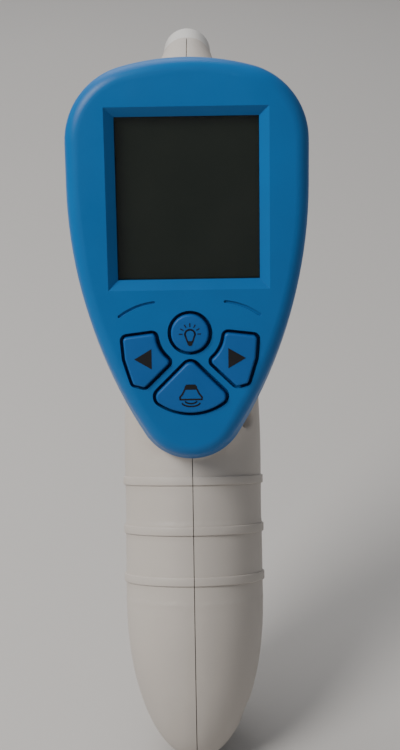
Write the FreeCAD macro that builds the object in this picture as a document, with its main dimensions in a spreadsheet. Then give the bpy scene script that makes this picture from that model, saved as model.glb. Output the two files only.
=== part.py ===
import FreeCAD, Part
import math
import os
import Sketcher
from FreeCAD import Placement, Rotation, Vector

# A pistol-grip infrared thermometer.  The origin is the centre of the nose rim, +Y is the measuring
# direction, +Z is up and +X is the user's right.  Three frames carry the pieces:
#   face  - local XY is the flat of the display bezel, local Z points at the user
#   grip  - local Z runs up the raked grip, local Y points at its front
#   nose  - local Z runs forward along the measuring axis, local Y points down

doc = FreeCAD.newDocument("DigitalThermometer")

# ---------------------------------------------------------------- driving dimensions

SIZES = {
    "Frames": {
        "face_y": -71.8, "face_tilt": 75.0,
        "grip_y": -68.6, "grip_z": -80.5, "grip_tilt": -30.0,
        "nose_tilt": -90.0,
    },
    "Bezel outline": {
        "half_width": 24.1, "top_y": 14.8, "top_radius": 50.0, "corner_radius": 15.0,
        "flank_y": -10.0, "flank_radius": 92.0, "foot_radius": 10.49,
        "base_half_width": 24.6, "base_flank_radius": 100.2, "base_foot_radius": 11.5,
        "edge_fillet": 3.0, "edge_depth": 4.0, "base_depth": 9.0,
        "plate": 2.4, "bezel_wall": 2.2, "tongue": 1.6, "tongue_wall": 1.2,
    },
    "Display": {
        "window_half_x": 14.25, "window_y": -12.55, "window_half_y": 16.05,
        "bevel_width": 1.9, "bevel_depth": 1.7,
        "lens_thick": 1.0, "lens_margin": 2.3,
        "glass_half_x": 16.8, "glass_top": 6.0, "glass_bottom": -31.6, "glass_thick": 1.1,
        "glass_ledge": 2.4, "light_thick": 3.4, "strip_wide": 1.3, "strip_half_x": 14.0,
    },
    "Keys": {
        "light_y": -39.2, "light_r": 3.8, "moat": 0.7, "key_proud": 0.8,
        "flange_thick": 0.8, "flange_gap": 0.1, "key_travel": 0.6, "stem_r": 1.6,
        "dome_r": 3.0, "dome_thick": 0.3, "key_fillet": 0.45, "brow_wide": 0.6, "brow_deep": 0.4,
    },
    "Boards": {
        "board_z": -9.6, "board_thick": 1.6, "board_inset": 3.6,
        "boss_r": 1.8, "boss_hole": 0.8, "post_hole": 1.15,
        "post_top_x": 11.2, "post_top_y": 8.6, "post_mid_x": 16.2, "post_mid_y": -34.4,
        "post_low_y": -60.4, "buzzer_r": 6.0, "buzzer_tall": 5.2, "buzzer_y": -46.0,
    },
    "Housing": {
        "wall": 2.2, "seam": 0.3, "grip_half_x": 15.25, "grip_half_y": 15.75,
        "grip_straight": 27.1, "grip_end": 34.7,
        "rib_pitch": 10.7, "rib_wide": 1.8, "rib_proud": 0.4,
    },
    "Nose": {
        "nose_long": 12.0, "nose_r": 5.6, "nose_round": 1.3, "nose_bore": 4.4, "nose_wall": 2.4,
        "aperture_r": 3.0, "sleeve_r": 4.3, "sleeve_back": -22.0, "sleeve_front": -2.6,
        "can_r": 2.7, "can_front": -12.2, "can_back": -16.4, "filter_r": 1.6, "filter_thick": 0.35,
        "disc_r": 4.1, "disc_front": -22.4, "disc_thick": 1.2, "pin_wire": 0.22,
    },
    "Trigger": {
        "pivot_y": -49.0, "pivot_z": -31.0, "pivot_r": 1.0, "trigger_half_x": 6.4,
        "slot_gap": 0.5,
        "switch_y": -57.0, "switch_z": -50.0, "plunger_r": 1.5, "plunger_tip": -49.6,
    },
    "Battery bay": {
        "cell_r": 5.25, "cell_long": 44.5, "cell_x": 5.45, "cell_y": 1.5, "cell_top": 6.0,
        "spring_long": 3.4, "door_y": 4.0, "door_top": 9.5, "door_gap": 0.1,
        "tray_half_x": 10.8, "tray_floor": -5.6, "plate_thick": 0.4,
    },
}

sheet = doc.addObject("Spreadsheet::Sheet", "Sizes")
row = 1
for heading, entries in SIZES.items():
    sheet.set("A%d" % row, heading)
    row += 1
    for alias, number in entries.items():
        sheet.set("A%d" % row, alias.replace("_", " "))
        sheet.set("B%d" % row, str(number))
        sheet.setAlias("B%d" % row, alias)
        row += 1
doc.recompute()


def size(text):
    """The value of a sheet alias, or of an expression over the aliases."""
    return float(sheet.evalExpression(text))


def bind(item, path, text):
    """Ties one property of a document object to the sheet."""
    item.setExpression(path, text)


def sized(text):
    """An expression over bare aliases, rewritten so that another object can read it."""
    words = []
    for word in text.replace("(", " ( ").replace(")", " ) ").split():
        words.append("Sizes." + word if word[0].isalpha() and word not in ("sqrt", "sin", "cos") else word)
    return " ".join(words)


FACE = ("0", "face_y", "0", "face_tilt")
GRIP = ("0", "grip_y", "grip_z", "grip_tilt")
NOSE = ("0", "0", "0", "nose_tilt")
WORLD = ("0", "0", "0", "0")


def place(item, frame):
    """Puts an object into one of the frames, all of which are turned about X."""
    item.Placement = Placement(Vector(), Rotation(Vector(1, 0, 0), size(frame[3])))
    for axis, text in zip("xyz", frame[:3]):
        bind(item, "Placement.Base." + axis, sized(text))
    if frame[3] != "0":
        bind(item, "Placement.Rotation.Angle", sized(frame[3]))


def frame_placement(frame):
    """A frame as a Placement."""
    base = Vector(size(frame[0]), size(frame[1]), size(frame[2]))
    return Placement(base, Rotation(Vector(1, 0, 0), size(frame[3])))


# ---------------------------------------------------------------- sketch and feature helpers

def new_body(label, frame):
    """A PartDesign body in one of the frames."""
    body = doc.addObject("PartDesign::Body", label)
    body.Label = label
    place(body, frame)
    return body


def new_sketch(body, name, height="0", plane="XY_Plane"):
    """A sketch on one of the body's own planes, lifted by a bound height."""
    sketch = body.newObject("Sketcher::SketchObject", body.Label + "_" + name)
    support = [item for item in body.Origin.OriginFeatures if item.Role == plane][0]
    sketch.AttachmentSupport = [(support, "")]
    sketch.MapMode = "FlatFace"
    bind(sketch, "AttachmentOffset.Base.z", sized(height))
    return sketch


def fix(sketch, kind, target, text):
    """Adds a dimension to a sketch and ties it to the sheet."""
    value = size(text)
    if kind == "Radius":
        index = sketch.addConstraint(Sketcher.Constraint(kind, target, abs(value)))
        sketch.setExpression("Constraints[%d]" % index, sized(text))
        return
    geometry, point = target
    if abs(value) < 1e-9:
        index = sketch.addConstraint(Sketcher.Constraint(kind, geometry, point, 0.0))
        return
    index = sketch.addConstraint(Sketcher.Constraint(kind, geometry, point, value))
    sketch.setExpression("Constraints[%d]" % index, sized(text))


def add_circle(sketch, x_text, y_text, r_text):
    """A circle with bound centre and radius."""
    centre = Vector(size(x_text), size(y_text), 0)
    circle = sketch.addGeometry(Part.Circle(centre, Vector(0, 0, 1), size(r_text)), False)
    fix(sketch, "Radius", circle, r_text)
    fix(sketch, "DistanceX", (circle, 3), x_text)
    fix(sketch, "DistanceY", (circle, 3), y_text)


def add_rectangle(sketch, left, bottom, right, top):
    """A rectangle whose four sides are bound."""
    x0, y0, x1, y1 = size(left), size(bottom), size(right), size(top)
    corners = [Vector(x0, y0, 0), Vector(x1, y0, 0), Vector(x1, y1, 0), Vector(x0, y1, 0)]
    lines = []
    for index in range(4):
        lines.append(sketch.addGeometry(Part.LineSegment(corners[index], corners[(index + 1) % 4]), False))
    for index in range(4):
        sketch.addConstraint(Sketcher.Constraint("Coincident", lines[index], 2, lines[(index + 1) % 4], 1))
    for index, kind in enumerate(("Horizontal", "Vertical", "Horizontal", "Vertical")):
        sketch.addConstraint(Sketcher.Constraint(kind, lines[index]))
    fix(sketch, "DistanceX", (lines[0], 1), left)
    fix(sketch, "DistanceY", (lines[0], 1), bottom)
    fix(sketch, "DistanceX", (lines[2], 1), right)
    fix(sketch, "DistanceY", (lines[2], 1), top)


def add_wire(sketch, edges):
    """Copies the lines and arcs of a flat outline into a sketch."""
    for edge in edges:
        first, last = edge.ParameterRange
        ends = [edge.valueAt(first), edge.valueAt(last)]
        if isinstance(edge.Curve, Part.Line):
            sketch.addGeometry(Part.LineSegment(*ends), False)
        else:
            middle = edge.valueAt((first + last) / 2)
            sketch.addGeometry(Part.Arc(ends[0], middle, ends[1]), False)


def arc_between(centre, radius, start, end):
    """An arc about a centre between two angles in degrees, anticlockwise."""
    circle = Part.Circle(centre, Vector(0, 0, 1), radius)
    return Part.ArcOfCircle(circle, math.radians(start), math.radians(end))


def add_egg(sketch, inset="0", half="half_width", flank="flank_radius", foot="foot_radius"):
    """The egg-shaped outline of the display head, shrunk evenly by an inset."""
    step = size(inset)
    half_x = size(half) - step
    top_r, corner_r = size("top_radius") - step, size("corner_radius") - step
    flank_r, foot_r = size(flank) - step, size(foot) - step
    top_c = Vector(0, size("top_y") - size("top_radius"), 0)
    corner_x = half_x - corner_r
    corner_c = Vector(corner_x, top_c.y + math.sqrt((top_r - corner_r) ** 2 - corner_x ** 2), 0)
    flank_c = Vector(half_x - flank_r, size("flank_y"), 0)
    foot_c = Vector(0, flank_c.y - math.sqrt((flank_r - foot_r) ** 2 - flank_c.x ** 2), 0)
    lean_top = math.degrees(math.atan2(corner_c.y - top_c.y, corner_c.x))
    lean_low = math.degrees(math.atan2(foot_c.y - flank_c.y, -flank_c.x))
    mirror = [Vector(-corner_c.x, corner_c.y, 0), Vector(-flank_c.x, flank_c.y, 0)]
    pieces = [
        arc_between(top_c, top_r, lean_top, 180 - lean_top),
        arc_between(mirror[0], corner_r, 180 - lean_top, 180),
        Part.LineSegment(Vector(-half_x, corner_c.y, 0), Vector(-half_x, flank_c.y, 0)),
        arc_between(mirror[1], flank_r, 180, 180 - lean_low),
        arc_between(foot_c, foot_r, 180 - lean_low, 360 + lean_low),
        arc_between(flank_c, flank_r, lean_low, 0),
        Part.LineSegment(Vector(half_x, flank_c.y, 0), Vector(half_x, corner_c.y, 0)),
        arc_between(corner_c, corner_r, 0, lean_top),
    ]
    first = sketch.addGeometry(pieces, False)[0]
    for index in range(8):
        this, after = first + index, first + (index + 1) % 8
        sketch.addConstraint(Sketcher.Constraint("Tangent", this, 2, after, 1))
    sizes = {0: "top_radius", 1: "corner_radius", 3: flank, 4: foot, 5: flank, 7: "corner_radius"}
    for index, text in sizes.items():
        fix(sketch, "Radius", first + index, "%s - ( %s )" % (text, inset))
    sketch.addConstraint(Sketcher.Constraint("PointOnObject", first, 3, -2))
    fix(sketch, "DistanceY", (first, 3), "top_y - top_radius")
    for index, side in ((2, "-1 * "), (6, "")):
        sketch.addConstraint(Sketcher.Constraint("Vertical", first + index))
        fix(sketch, "DistanceX", (first + index, 1), "%s( %s - ( %s ) )" % (side, half, inset))
    fix(sketch, "DistanceY", (first + 2, 2), "flank_y")
    fix(sketch, "DistanceY", (first + 6, 1), "flank_y")


def feature(body, kind, sketch, name, length=None, **settings):
    """A pad, pocket or other profile feature of a body."""
    item = body.newObject("PartDesign::" + kind, body.Label + "_" + name)
    item.Profile = sketch
    for key, value in settings.items():
        setattr(item, key, value)
    if length is not None:
        bind(item, "Length", sized(length))
    sketch.Visibility = False
    doc.recompute()
    return item


def edges_where(shape, test):
    """Names of the edges whose sampled points all pass a test."""
    names = []
    for index, edge in enumerate(shape.Edges):
        first, last = edge.ParameterRange
        points = [edge.valueAt(first + (last - first) * step / 4) for step in range(5)]
        if all(test(point) for point in points):
            names.append("Edge%d" % (index + 1))
    return names


def round_edges(body, base, name, radius, test, kind="Fillet"):
    """A fillet or chamfer on the edges of the last feature that pass a test."""
    item = body.newObject("PartDesign::" + kind, body.Label + "_" + name)
    item.Base = (base, edges_where(base.Shape, test))
    bind(item, "Radius" if kind == "Fillet" else "Size", sized(radius))
    doc.recompute()
    return item


def along_z(low, high):
    """A test for edges that lie between two heights of the local frame."""
    return lambda point: low <= point.z <= high


def grown(edges, distance):
    """An outline of tangent edges, moved outwards."""
    return Part.Face(Part.Wire(Part.__sortEdges__(edges))).makeOffset2D(distance).Edges


# ---------------------------------------------------------------- key outlines

def side_key_outline(side):
    """A side key: a wedge whose inner edge runs round the light key."""
    centre_y = size("light_y")
    round_space, corner = 7.0, 0.75
    outside = [(7.1, -39.2), (13.5, -40.0), (13.15, -44.4), (11.6, -49.6), (9.3, -50.2)]
    inside = [(4.0, -45.0), (4.0, -39.4)]
    circle = Part.Face(Part.Wire(Part.Circle(Vector(0, centre_y, 0), Vector(0, 0, 1), round_space).toShape()))
    corners = [Vector(x, y, 0) for x, y in outside + inside + outside[:1]]
    wedge = Part.Face(Part.makePolygon(corners))
    shape = wedge.cut(circle).Faces[0]
    shape = shape.makeOffset2D(-corner).makeOffset2D(corner)
    if side < 0:
        shape = shape.mirror(Vector(), Vector(1, 0, 0))
    return shape.Edges


def sound_key_outline():
    """The lowest key: a rounded triangle with a full lower side."""
    base = arc_between(Vector(0, -44.6, 0), 11.0, 225, 315).toShape()
    left, right = base.valueAt(base.FirstParameter), base.valueAt(base.LastParameter)
    apex = Vector(0, -44.6, 0)
    face = Part.Face(Part.Wire([base, Part.makeLine(right, apex), Part.makeLine(apex, left)]))
    return face.makeOffset2D(-1.5).makeOffset2D(1.5).Edges


def light_key_outline():
    """The round key in the middle of the group."""
    return [Part.Circle(Vector(0, size("light_y"), 0), Vector(0, 0, 1), size("light_r")).toShape()]


KEYS = {
    "light_key": (light_key_outline(), (0.0, size("light_y"))),
    "left_key": (side_key_outline(-1), (-9.6, -44.2)),
    "right_key": (side_key_outline(1), (9.6, -44.2)),
    "sound_key": (sound_key_outline(), (0.0, -51.2)),
}
POSTS = [
    ("post_top_x", "post_top_y"), ("-1 * post_top_x", "post_top_y"),
    ("post_mid_x", "post_mid_y"), ("-1 * post_mid_x", "post_mid_y"),
    ("0", "post_low_y"),
]


def add_outline(sketch, edges):
    """Copies an outline into a sketch, whether it is a circle or a chain of edges."""
    if len(edges) == 1:
        circle = edges[0].Curve
        sketch.addGeometry(Part.Circle(circle.Center, Vector(0, 0, 1), circle.Radius), False)
    else:
        add_wire(sketch, edges)


# ---------------------------------------------------------------- display bezel and what it holds

def make_bezel():
    """The blue face: a plate with rounded edges, flared skirt, display bevel and key openings."""
    body = new_body("display_bezel", FACE)
    edge = new_sketch(body, "edge", "-1 * edge_depth")
    add_egg(edge)
    feature(body, "Pad", edge, "front", "edge_depth")
    upper = new_sketch(body, "skirt_top", "-1 * edge_depth")
    add_egg(upper)
    lower = new_sketch(body, "skirt_base", "-1 * base_depth")
    add_egg(lower, "0", "base_half_width", "base_flank_radius", "base_foot_radius")
    loft = body.newObject("PartDesign::AdditiveLoft", "display_bezel_skirt")
    loft.Profile = upper
    loft.Sections = [lower]
    loft.Ruled = True
    doc.recompute()
    round_edges(body, loft, "crown", "edge_fillet", along_z(-0.01, 0.01))
    hollow = new_sketch(body, "hollow", "-1 * base_depth")
    add_egg(hollow, "bezel_wall")
    feature(body, "Pocket", hollow, "inside", "base_depth - plate", Reversed=True)
    window = new_sketch(body, "window")
    add_rectangle(window, "-1 * window_half_x", "window_y - window_half_y",
                  "window_half_x", "window_y + window_half_y")
    feature(body, "Pocket", window, "opening", "plate + 1")
    flare = "bevel_width * (1 + 0.1 / bevel_depth)"
    outer = new_sketch(body, "bevel_outer", "0.1")
    add_rectangle(outer, "-1 * window_half_x - " + flare, "window_y - window_half_y - " + flare,
                  "window_half_x + " + flare, "window_y + window_half_y + " + flare)
    inner = new_sketch(body, "bevel_inner", "-1 * bevel_depth")
    add_rectangle(inner, "-1 * window_half_x", "window_y - window_half_y",
                  "window_half_x", "window_y + window_half_y")
    bevel = body.newObject("PartDesign::SubtractiveLoft", "display_bezel_bevel")
    bevel.Profile = outer
    bevel.Sections = [inner]
    bevel.Ruled = True
    doc.recompute()
    openings = new_sketch(body, "key_openings")
    for edges, centre in KEYS.values():
        if len(edges) == 1:
            add_circle(openings, "0", "light_y", "light_r + moat")
        else:
            add_wire(openings, grown(edges, size("moat")))
    feature(body, "Pocket", openings, "keyholes", "plate + 1")
    brows = new_sketch(body, "brow_lines")
    half = size("brow_wide") / 2
    for side in (-1, 1):
        middle = Vector(side * 5.6, -47.1, 0)
        start, end = (53.3, 83.6) if side > 0 else (96.4, 126.7)
        for radius, turn in ((14.25 + half, 1), (14.25 - half, -1)):
            brows.addGeometry(arc_between(middle, radius, start, end), False)
        for angle in (start, end):
            across = Vector(math.cos(math.radians(angle)), math.sin(math.radians(angle)), 0)
            along = Vector(-across.y, across.x, 0) * (half if angle == end else -half)
            low, high = middle + across * (14.25 - half), middle + across * (14.25 + half)
            brows.addGeometry(Part.Arc(low, middle + across * 14.25 + along, high), False)
    feature(body, "Pocket", brows, "brows", "brow_deep")
    posts = new_sketch(body, "posts", "-1 * plate")
    for x_text, y_text in POSTS:
        add_circle(posts, x_text, y_text, "boss_r")
    feature(body, "Pad", posts, "screw_posts", "-1 * board_z - plate", Reversed=True)
    holes = new_sketch(body, "post_holes", "board_z")
    for x_text, y_text in POSTS:
        add_circle(holes, x_text, y_text, "boss_hole")
    feature(body, "Pocket", holes, "pilot_holes", "5.5", Reversed=True)
    tongue = new_sketch(body, "tongue", "-1 * base_depth + 1.5")
    add_egg(tongue, "bezel_wall - 0.1")
    add_egg(tongue, "bezel_wall + tongue_wall")
    feature(body, "Pad", tongue, "rear_tongue", "tongue + 1.5", Reversed=True)


def plate_between(label, outline, top, thickness, frame=FACE):
    """A body made of one padded outline below a height."""
    body = new_body(label, frame)
    sketch = new_sketch(body, "outline", top)
    outline(sketch)
    feature(body, "Pad", sketch, "plate", thickness, Reversed=True)
    return body


def make_display():
    """The clear window, the two-glass display, its backlight and its contact strips."""
    margin = "lens_margin"
    plate_between("display_window", lambda sketch: add_rectangle(
        sketch, "-1 * window_half_x - " + margin, "window_y - window_half_y - " + margin,
        "window_half_x + " + margin, "window_y + window_half_y + " + margin),
        "-1 * plate", "lens_thick")
    panel = plate_between("lcd_panel", lambda sketch: add_rectangle(
        sketch, "-1 * glass_half_x", "glass_bottom + glass_ledge", "glass_half_x", "glass_top"),
        "-1 * plate - lens_thick - 0.1", "glass_thick")
    lower = new_sketch(panel, "rear_glass", "-1 * plate - lens_thick - 0.1 - glass_thick")
    add_rectangle(lower, "-1 * glass_half_x", "glass_bottom", "glass_half_x", "glass_top")
    feature(panel, "Pad", lower, "rear", "glass_thick", Reversed=True)
    rear = "-1 * plate - lens_thick - 0.1 - 2 * glass_thick"
    plate_between("lcd_backlight", lambda sketch: add_rectangle(
        sketch, "-1 * glass_half_x + 0.6", "glass_bottom + 2.2", "glass_half_x - 0.6", "glass_top - 0.4"),
        rear, "light_thick")
    plate_between("lcd_contact_strip", lambda sketch: add_rectangle(
        sketch, "-1 * strip_half_x", "glass_bottom + 0.3", "strip_half_x",
        "glass_bottom + 0.3 + strip_wide"), rear, "-1 * board_z - plate - lens_thick - 0.1 - 2 * glass_thick")


def make_board():
    """The main board, with a hole over each screw post."""
    board = plate_between("main_board", lambda sketch: add_egg(sketch, "board_inset"), "board_z", "board_thick")
    holes = new_sketch(board, "holes", "board_z")
    for x_text, y_text in POSTS:
        add_circle(holes, x_text, y_text, "post_hole")
    feature(board, "Pocket", holes, "post_holes", "board_thick + 1")


def make_key(name):
    """A key cap with a flange under the bezel and a stem that reaches its dome."""
    edges, centre = KEYS[name]
    body = new_body(name, FACE)
    cap = new_sketch(body, "cap", "-1 * plate - flange_gap")
    add_outline(cap, edges)
    top = feature(body, "Pad", cap, "cap_solid", "plate + flange_gap + key_proud")
    high = size("key_proud")
    round_edges(body, top, "soft_edge", "key_fillet", along_z(high - 0.01, high + 0.01))
    flange = new_sketch(body, "flange", "-1 * plate - flange_gap")
    if len(edges) == 1:
        add_circle(flange, "0", "light_y", "light_r + moat + 0.35")
    else:
        add_wire(flange, grown(edges, size("moat + 0.25")))
    feature(body, "Pad", flange, "flange_solid", "flange_thick", Reversed=True)
    stem = new_sketch(body, "stem", "-1 * plate - flange_gap - flange_thick")
    add_circle(stem, str(centre[0]), str(centre[1]), "stem_r")
    reach = "-1 * board_z - dome_thick - key_travel - 0.05 - plate - flange_gap - flange_thick"
    feature(body, "Pad", stem, "stem_solid", reach, Reversed=True)


def group(label, frame, items):
    """Several separate solids in one node."""
    compound = doc.addObject("Part::Compound", label)
    compound.Label = label
    compound.Links = items
    place(compound, frame)
    return compound


def block(name, corner, spans):
    """A Part box whose corner and sides are bound."""
    box = doc.addObject("Part::Box", name)
    for axis, text in zip("xyz", corner):
        bind(box, "Placement.Base." + axis, sized(text))
    for side, text in zip(("Length", "Width", "Height"), spans):
        bind(box, side, sized(text))
    return box


def rod(name, base, radius, length, turn=None):
    """A Part cylinder whose foot, radius and height are bound; it may be turned."""
    item = doc.addObject("Part::Cylinder", name)
    if turn:
        item.Placement = Placement(Vector(), Rotation(Vector(*turn[:3]), turn[3]))
    for axis, text in zip("xyz", base):
        bind(item, "Placement.Base." + axis, sized(text))
    bind(item, "Radius", sized(radius))
    bind(item, "Height", sized(length))
    return item


def make_board_parts():
    """Domes under the keys, chips behind the board, the buzzer and the board screws."""
    domes = []
    for name, (edges, centre) in KEYS.items():
        domes.append(rod("dome_" + name, (str(centre[0]), str(centre[1]), "board_z"), "dome_r", "dome_thick"))
    group("key_domes", FACE, domes)
    rear = "board_z - board_thick"
    chips = []
    layout = {
        "controller": (-5.0, -22.0, 10.0, 10.0, 1.5), "memory": (8.0, -20.0, 5.0, 4.0, 1.4),
        "amplifier": (4.0, -5.0, 4.0, 5.0, 1.4), "crystal": (-13.0, -20.0, 3.6, 8.5, 2.4),
        "regulator": (8.5, -9.5, 3.0, 3.0, 1.2), "driver": (-12.0, -6.0, 3.2, 3.2, 1.2),
    }
    for name, (x, y, wide, tall, deep) in layout.items():
        chips.append(block("chip_" + name, (str(x), str(y), "%s - %s" % (rear, deep)),
                           (str(wide), str(tall), str(deep))))
    for index in range(6):
        low = "%s - 0.8" % rear
        chips.append(block("chip_small_%d" % index, (str(-7 + 2.6 * index), "-27.0", low), ("1.6", "0.8", "0.8")))
    group("board_chips", FACE, chips)
    buzzer = new_body("buzzer", FACE)
    drum = new_sketch(buzzer, "drum", rear)
    add_circle(drum, "0", "buzzer_y", "buzzer_r")
    feature(buzzer, "Pad", drum, "case", "buzzer_tall", Reversed=True)
    mouth = new_sketch(buzzer, "mouth", rear + " - buzzer_tall")
    add_circle(mouth, "0", "buzzer_y", "1.1")
    feature(buzzer, "Pocket", mouth, "sound_hole", "2.0", Reversed=True)
    screws = []
    for index, (x_text, y_text) in enumerate(POSTS):
        head = rod("board_head_%d" % index, (x_text, y_text, rear + " - 1.2"), "1.7", "1.2")
        shank = rod("board_shank_%d" % index, (x_text, y_text, rear + " - 0.1"), "boss_hole", "board_thick + 4.6")
        whole = doc.addObject("Part::Fuse", "board_screw_%d" % index)
        whole.Base, whole.Tool = head, shank
        cross = screw_cross("board_cross_%d" % index, x_text, y_text, rear + " - 1.2")
        cut = doc.addObject("Part::Cut", "board_screw_cut_%d" % index)
        cut.Base, cut.Tool = whole, cross
        screws.append(cut)
    group("board_screws", FACE, screws)


def screw_cross(name, x_text, y_text, z_text):
    """The cross recess of a small screw, open downwards."""
    bars = [
        block(name + "_a", (x_text + " - 0.9", y_text + " - 0.2", z_text), ("1.8", "0.4", "0.6")),
        block(name + "_b", (x_text + " - 0.2", y_text + " - 0.9", z_text), ("0.4", "1.8", "0.6")),
    ]
    fused = doc.addObject("Part::Fuse", name)
    fused.Base, fused.Tool = bars
    return fused


# ---------------------------------------------------------------- housing solids

# Head sections behind the bezel: depth below the face and inset of the base outline.
HEAD_SKIN = [("base_depth", "0"), ("15.0", "0.8"), ("21.0", "3.4"), ("25.0", "8.4")]
HEAD_SPACE = [
    ("base_depth - 1", "wall - 0.2"), ("11.2", "wall - 0.2"), ("15.0", "wall + 0.8"),
    ("19.6", "wall + 3.0"), ("22.8", "wall + 7.4"),
]

# Barrel sections: Y, centre height, lean, half width, half height.
BARREL = [
    (-62.0, -14.0, 15.0, 16.0, 22.0), (-50.0, -8.5, 7.0, 13.5, 17.3), (-40.0, -4.7, 0.0, 10.6, 12.2),
    (-29.0, -1.6, 0.0, 8.1, 8.6), (-20.0, -0.4, 0.0, 6.7, 6.9), (-12.0, 0.0, 0.0, 6.0, 6.0),
]

# Neck sections above the straight of the grip: Y, Z, lean, half width, half depth.
NECK = [
    (-62.7, -69.2, 27.0, 15.2, 15.6), (-57.9, -55.0, 14.0, 14.4, 14.5),
    (-56.0, -38.0, 4.0, 13.4, 13.5), (-55.2, -22.0, 0.0, 11.8, 12.0), (-54.0, -9.0, 0.0, 8.0, 8.4),
]


def combined(name, items):
    """A union of several objects."""
    union = doc.addObject("Part::MultiFuse", name)
    union.Shapes = items
    union.Refine = False
    return union


def cut_from(name, base, tool):
    """One object with another taken away."""
    item = doc.addObject("Part::Cut", name)
    item.Base, item.Tool = base, tool
    item.Refine = False
    return item


def common_of(name, first, second):
    """The volume that two objects share."""
    item = doc.addObject("Part::Common", name)
    item.Base, item.Tool = first, second
    item.Refine = False
    return item


def head_solid(name, sections):
    """The head behind the bezel, lofted through egg-shaped sections."""
    sketches = []
    for index, (depth, inset) in enumerate(sections):
        sketch = doc.addObject("Sketcher::SketchObject", "%s_section_%d" % (name, index))
        drop = Placement(Vector(0, 0, -size(depth)), Rotation())
        sketch.Placement = frame_placement(FACE).multiply(drop)
        add_egg(sketch, inset, "base_half_width", "base_flank_radius", "base_foot_radius")
        sketches.append(sketch)
    loft = doc.addObject("Part::Loft", name)
    loft.Sections = sketches
    loft.Solid = True
    loft.MaxDegree = 5
    return loft


def oval(name, placement, half_x, half_y, inset):
    """An ellipse section whose long axis is always the local Y axis."""
    item = doc.addObject("Part::Ellipse", name)
    item.Placement = placement.multiply(Placement(Vector(), Rotation(Vector(0, 0, 1), 90)))
    bind(item, "MajorRadius", sized("%s - ( %s )" % (half_y, inset)))
    bind(item, "MinorRadius", sized("%s - ( %s )" % (half_x, inset)))
    return item


def oval_loft(name, ovals):
    """A smooth solid through oval sections."""
    loft = doc.addObject("Part::Loft", name)
    loft.Sections = ovals
    loft.Solid = True
    loft.MaxDegree = 5
    return loft


def barrel_solid(name, inset):
    """The barrel from the head to the nose."""
    ovals = []
    for index, (y, z, lean, half_x, half_z) in enumerate(BARREL):
        spot = Placement(Vector(0, y, z), Rotation(Vector(1, 0, 0), -90 - lean))
        ovals.append(oval("%s_section_%d" % (name, index), spot, half_x, half_z, inset))
    return oval_loft(name, ovals)


def grip_solid(name, inset):
    """The raked grip with its egg-shaped end, and the neck that carries it up into the head."""
    ovals = []
    grip = frame_placement(GRIP)
    for index, text in enumerate(("-1 * grip_straight", "-0.5 * grip_straight", "0")):
        spot = grip.multiply(Placement(Vector(0, 0, size(text)), Rotation()))
        ovals.append(oval("%s_straight_%d" % (name, index), spot, "grip_half_x", "grip_half_y", inset))
    for index, (y, z, lean, half_x, half_y) in enumerate(NECK):
        spot = Placement(Vector(0, y, z), Rotation(Vector(1, 0, 0), -lean))
        ovals.append(oval("%s_neck_%d" % (name, index), spot, half_x, half_y, inset))
    neck = oval_loft(name + "_neck", ovals)
    end = doc.addObject("Part::Ellipsoid", name + "_end")
    end.Placement = grip.multiply(Placement(Vector(0, 0, -size("grip_straight")), Rotation()))
    bind(end, "Radius1", sized("grip_end - " + inset))
    bind(end, "Radius2", sized("grip_half_x - " + inset))
    bind(end, "Radius3", sized("grip_half_y - " + inset))
    end.Angle1, end.Angle2 = -90, 0
    return [neck, end]


def rib_bands():
    """Three raised bands round the grip."""
    bands = []
    for index in range(3):
        ring = doc.addObject("Part::Ellipse", "rib_outline_%d" % index)
        drop = -size("rib_pitch") * index - size("rib_wide") / 2
        ring.Placement = frame_placement(GRIP).multiply(
            Placement(Vector(0, 0, drop), Rotation(Vector(0, 0, 1), 90)))
        bind(ring, "MajorRadius", sized("grip_half_y + rib_proud"))
        bind(ring, "MinorRadius", sized("grip_half_x + rib_proud"))
        band = doc.addObject("Part::Extrusion", "rib_band_%d" % index)
        band.Base = ring
        band.DirMode = "Normal"
        band.Solid = True
        bind(band, "LengthFwd", sized("rib_wide"))
        bands.append(band)
    return bands


def world_block(name, corner, spans, frame=WORLD):
    """A box in one of the frames, for cutting or adding."""
    box = block(name + "_box", corner, spans)
    holder = doc.addObject("Part::Compound", name)
    holder.Links = [box]
    place(holder, frame)
    return holder


def cross_rod(name, y_text, z_text, radius, left, right):
    """A cylinder along X between two sides."""
    return rod(name, (left, y_text, z_text), radius, "%s - ( %s )" % (right, left), (0, 1, 0, 90))


# Screw bosses across the housing: Y, Z, and how deep the screw head sits from the middle.
BOSSES = [(-36.0, -9.0, 5.0), (-57.0, -20.0, 8.0), (-70.4, -63.8, 9.0), (-95.6, -124.0, 5.0)]


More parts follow.
